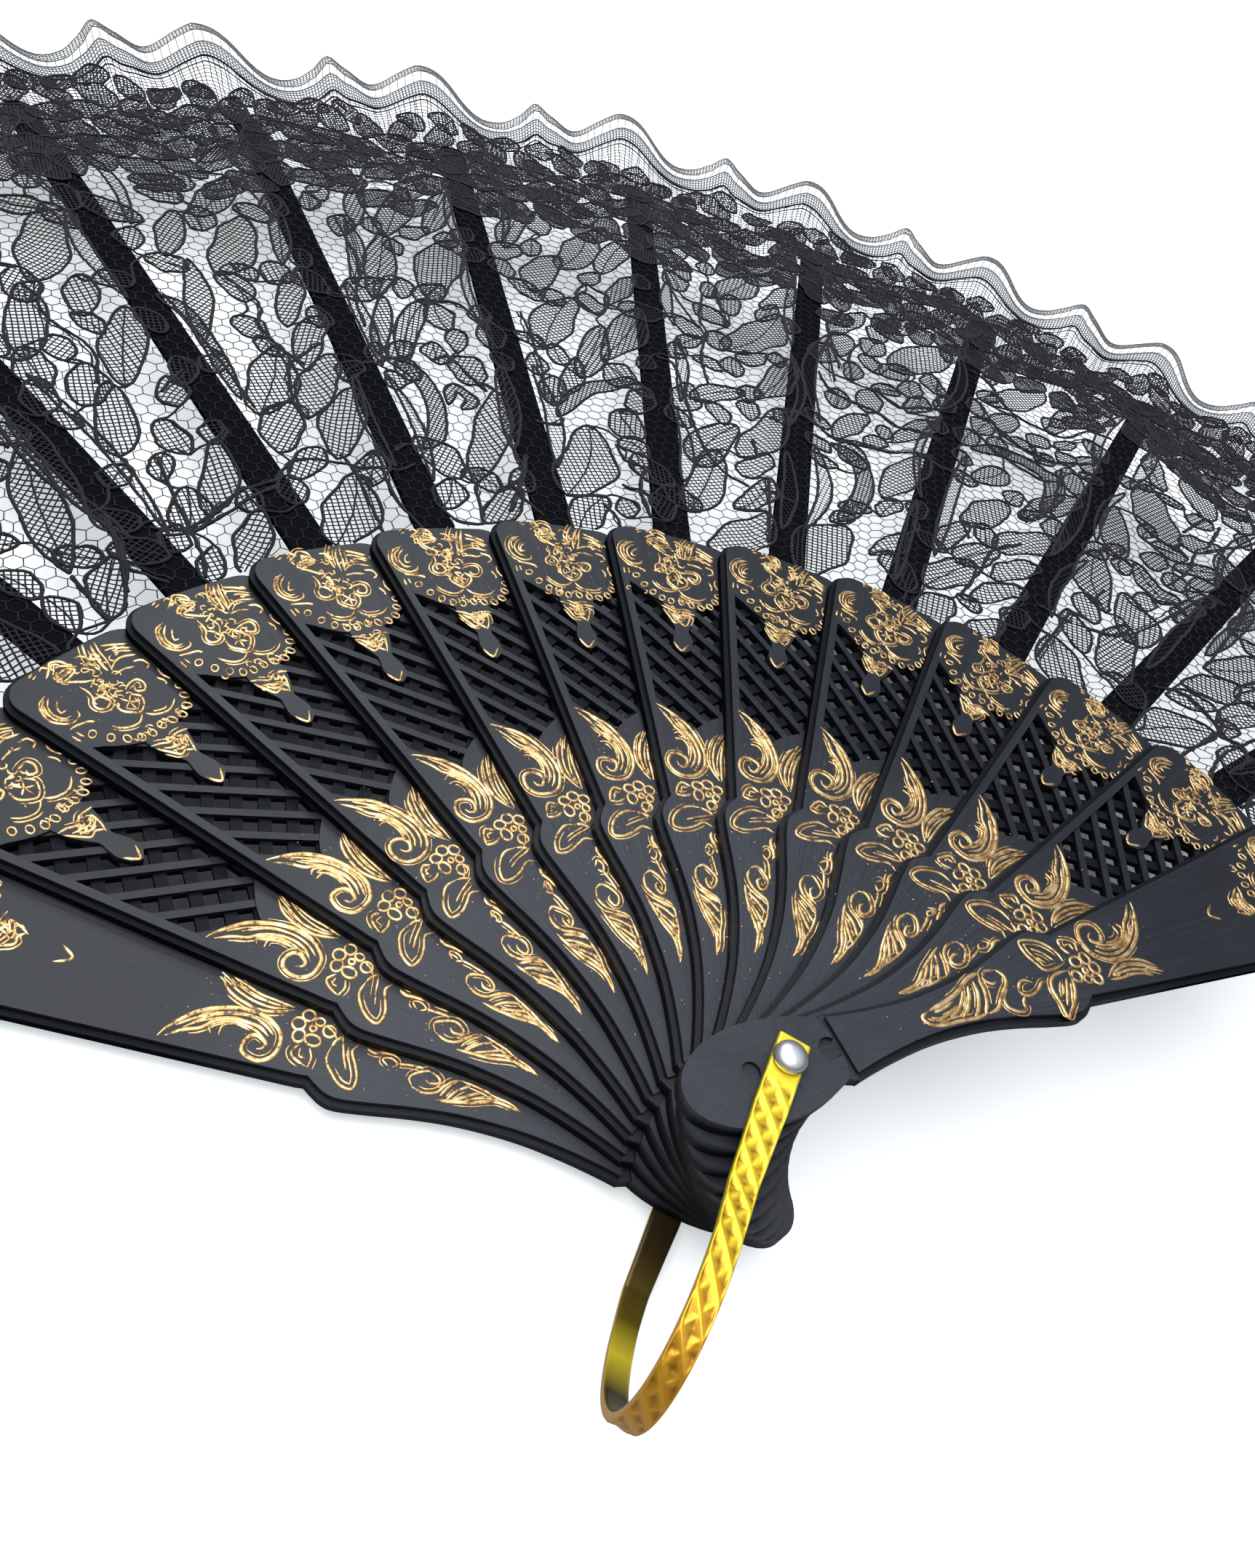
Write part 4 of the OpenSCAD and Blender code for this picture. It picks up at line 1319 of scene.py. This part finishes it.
# ---------------------------------------------------------------- world and lights
def make_world():
    """Dark low down and pale blue overhead; plain near-white to the camera."""
    world = bpy.data.worlds.new("world")
    scene.world = world
    w = Shader(world)
    climb = w.math("MULTIPLY_ADD", w.xyz(w.incoming())[2], -1.0, 0.0)
    sky = w.ramp(climb, (0.25, (0.025, 0.026, 0.03)), (0.85, (0.80, 0.85, 0.94)))
    colour = w.mix(w.camera_ray(), sky, (0.975, 0.98, 0.985))
    background = w.tree.nodes["Background"]
    w.plug(colour, background.inputs[0])
    w.plug(1.0, background.inputs[1])


def area(name, place, target, size, power, colour=(1, 1, 1)):
    light = bpy.data.lights.new(name, "AREA")
    light.shape = "RECTANGLE"
    light.size, light.size_y = size
    light.energy = power
    light.color = colour
    obj = bpy.data.objects.new(name, light)
    scene.collection.objects.link(obj)
    obj.location = place
    aim = Vector(target) - Vector(place)
    obj.rotation_euler = aim.to_track_quat("-Z", "Y").to_euler()


make_world()
area("key", place=(-0.20, 0.02, 0.95), target=(0.02, 0.08, 0), size=(0.9, 0.7), power=9.5)
area("back", place=(-0.02, 0.62, 0.62), target=(-0.03, 0.02, 0), size=(0.34, 0.28), power=2.4,
     colour=(0.90, 0.95, 1.0))


# ---------------------------------------------------------------- floor
def floor_material():
    """Pale ground, with painted shade where it shows through the sticks' windows."""
    m = Material("floor")
    camera_ray = m.camera_ray()
    occlusion = m.node("ShaderNodeAmbientOcclusion", {"Distance": 0.07}, samples=12)
    # it stays pale beyond a circle round the sticks,
    distance = m.node("ShaderNodeVectorMath", {0: m.place(), 1: (0.0214, 0.0078, 0)},
                      operation="DISTANCE").outputs["Value"]
    beyond = m.smoothstep(distance, 0.105, 0.112)
    # below two lines that meet at the rivet,
    x, y, _ = m.xyz(m.place())
    above_lines = m.math("MINIMUM", m.math("MULTIPLY_ADD", x, -0.466, y),
                         m.math("MULTIPLY_ADD", x, 0.404, y))
    below = m.smoothstep(above_lines, 0.0, 0.005, low=1.0, high=0.0)
    # and from every side but the camera's
    facing = m.node("ShaderNodeVectorMath", {0: m.incoming(), 1: tuple(-forward)},
                    operation="DOT_PRODUCT").outputs["Value"]
    aside = m.smoothstep(facing, 0.79, 0.85, low=1.0, high=0.0)
    # painted shade: the ground darkens with its occlusion and glows less, save where the masks above keep it
    # pale
    unshaded = m.ramp(occlusion.outputs["AO"], (0.38, BLACK), (0.66, WHITE))
    pale = m.math("MAXIMUM", unshaded,
                  m.math("MAXIMUM", aside, m.math("MAXIMUM", beyond, below)))

    glow = m.times(camera_ray, m.math("MULTIPLY_ADD", pale, 0.468, 0.012))
    shade = m.mix(pale, (0.07, 0.07, 0.08), (0.76, 0.775, 0.775))
    grain = m.noise(scale=300.0, detail=3.0)
    shade = m.mix(m.times(grain, 0.03), shade, (0.6, 0.61, 0.62))
    # to all but camera rays the ground is darker, so it bounces less light onto the sticks
    return m.set(Base_Color=m.mix(camera_ray, (0.34, 0.345, 0.35), shade),
                 Roughness=0.75, Specular_IOR_Level=0.1,
                 Emission_Color=(0.95, 1.0, 1.0), Emission_Strength=glow)


def floor():
    half, z = 4.0, -0.0004
    material = floor_material()
    mesh = bpy.data.meshes.new("floor")
    corners = [(-half, -half, z), (half, -half, z), (half, half, z), (-half, half, z)]
    mesh.from_pydata(corners, [], [(0, 1, 2, 3)])
    obj = bpy.data.objects.new("floor", mesh)
    scene.collection.objects.link(obj)
    mesh.materials.append(material)


floor()
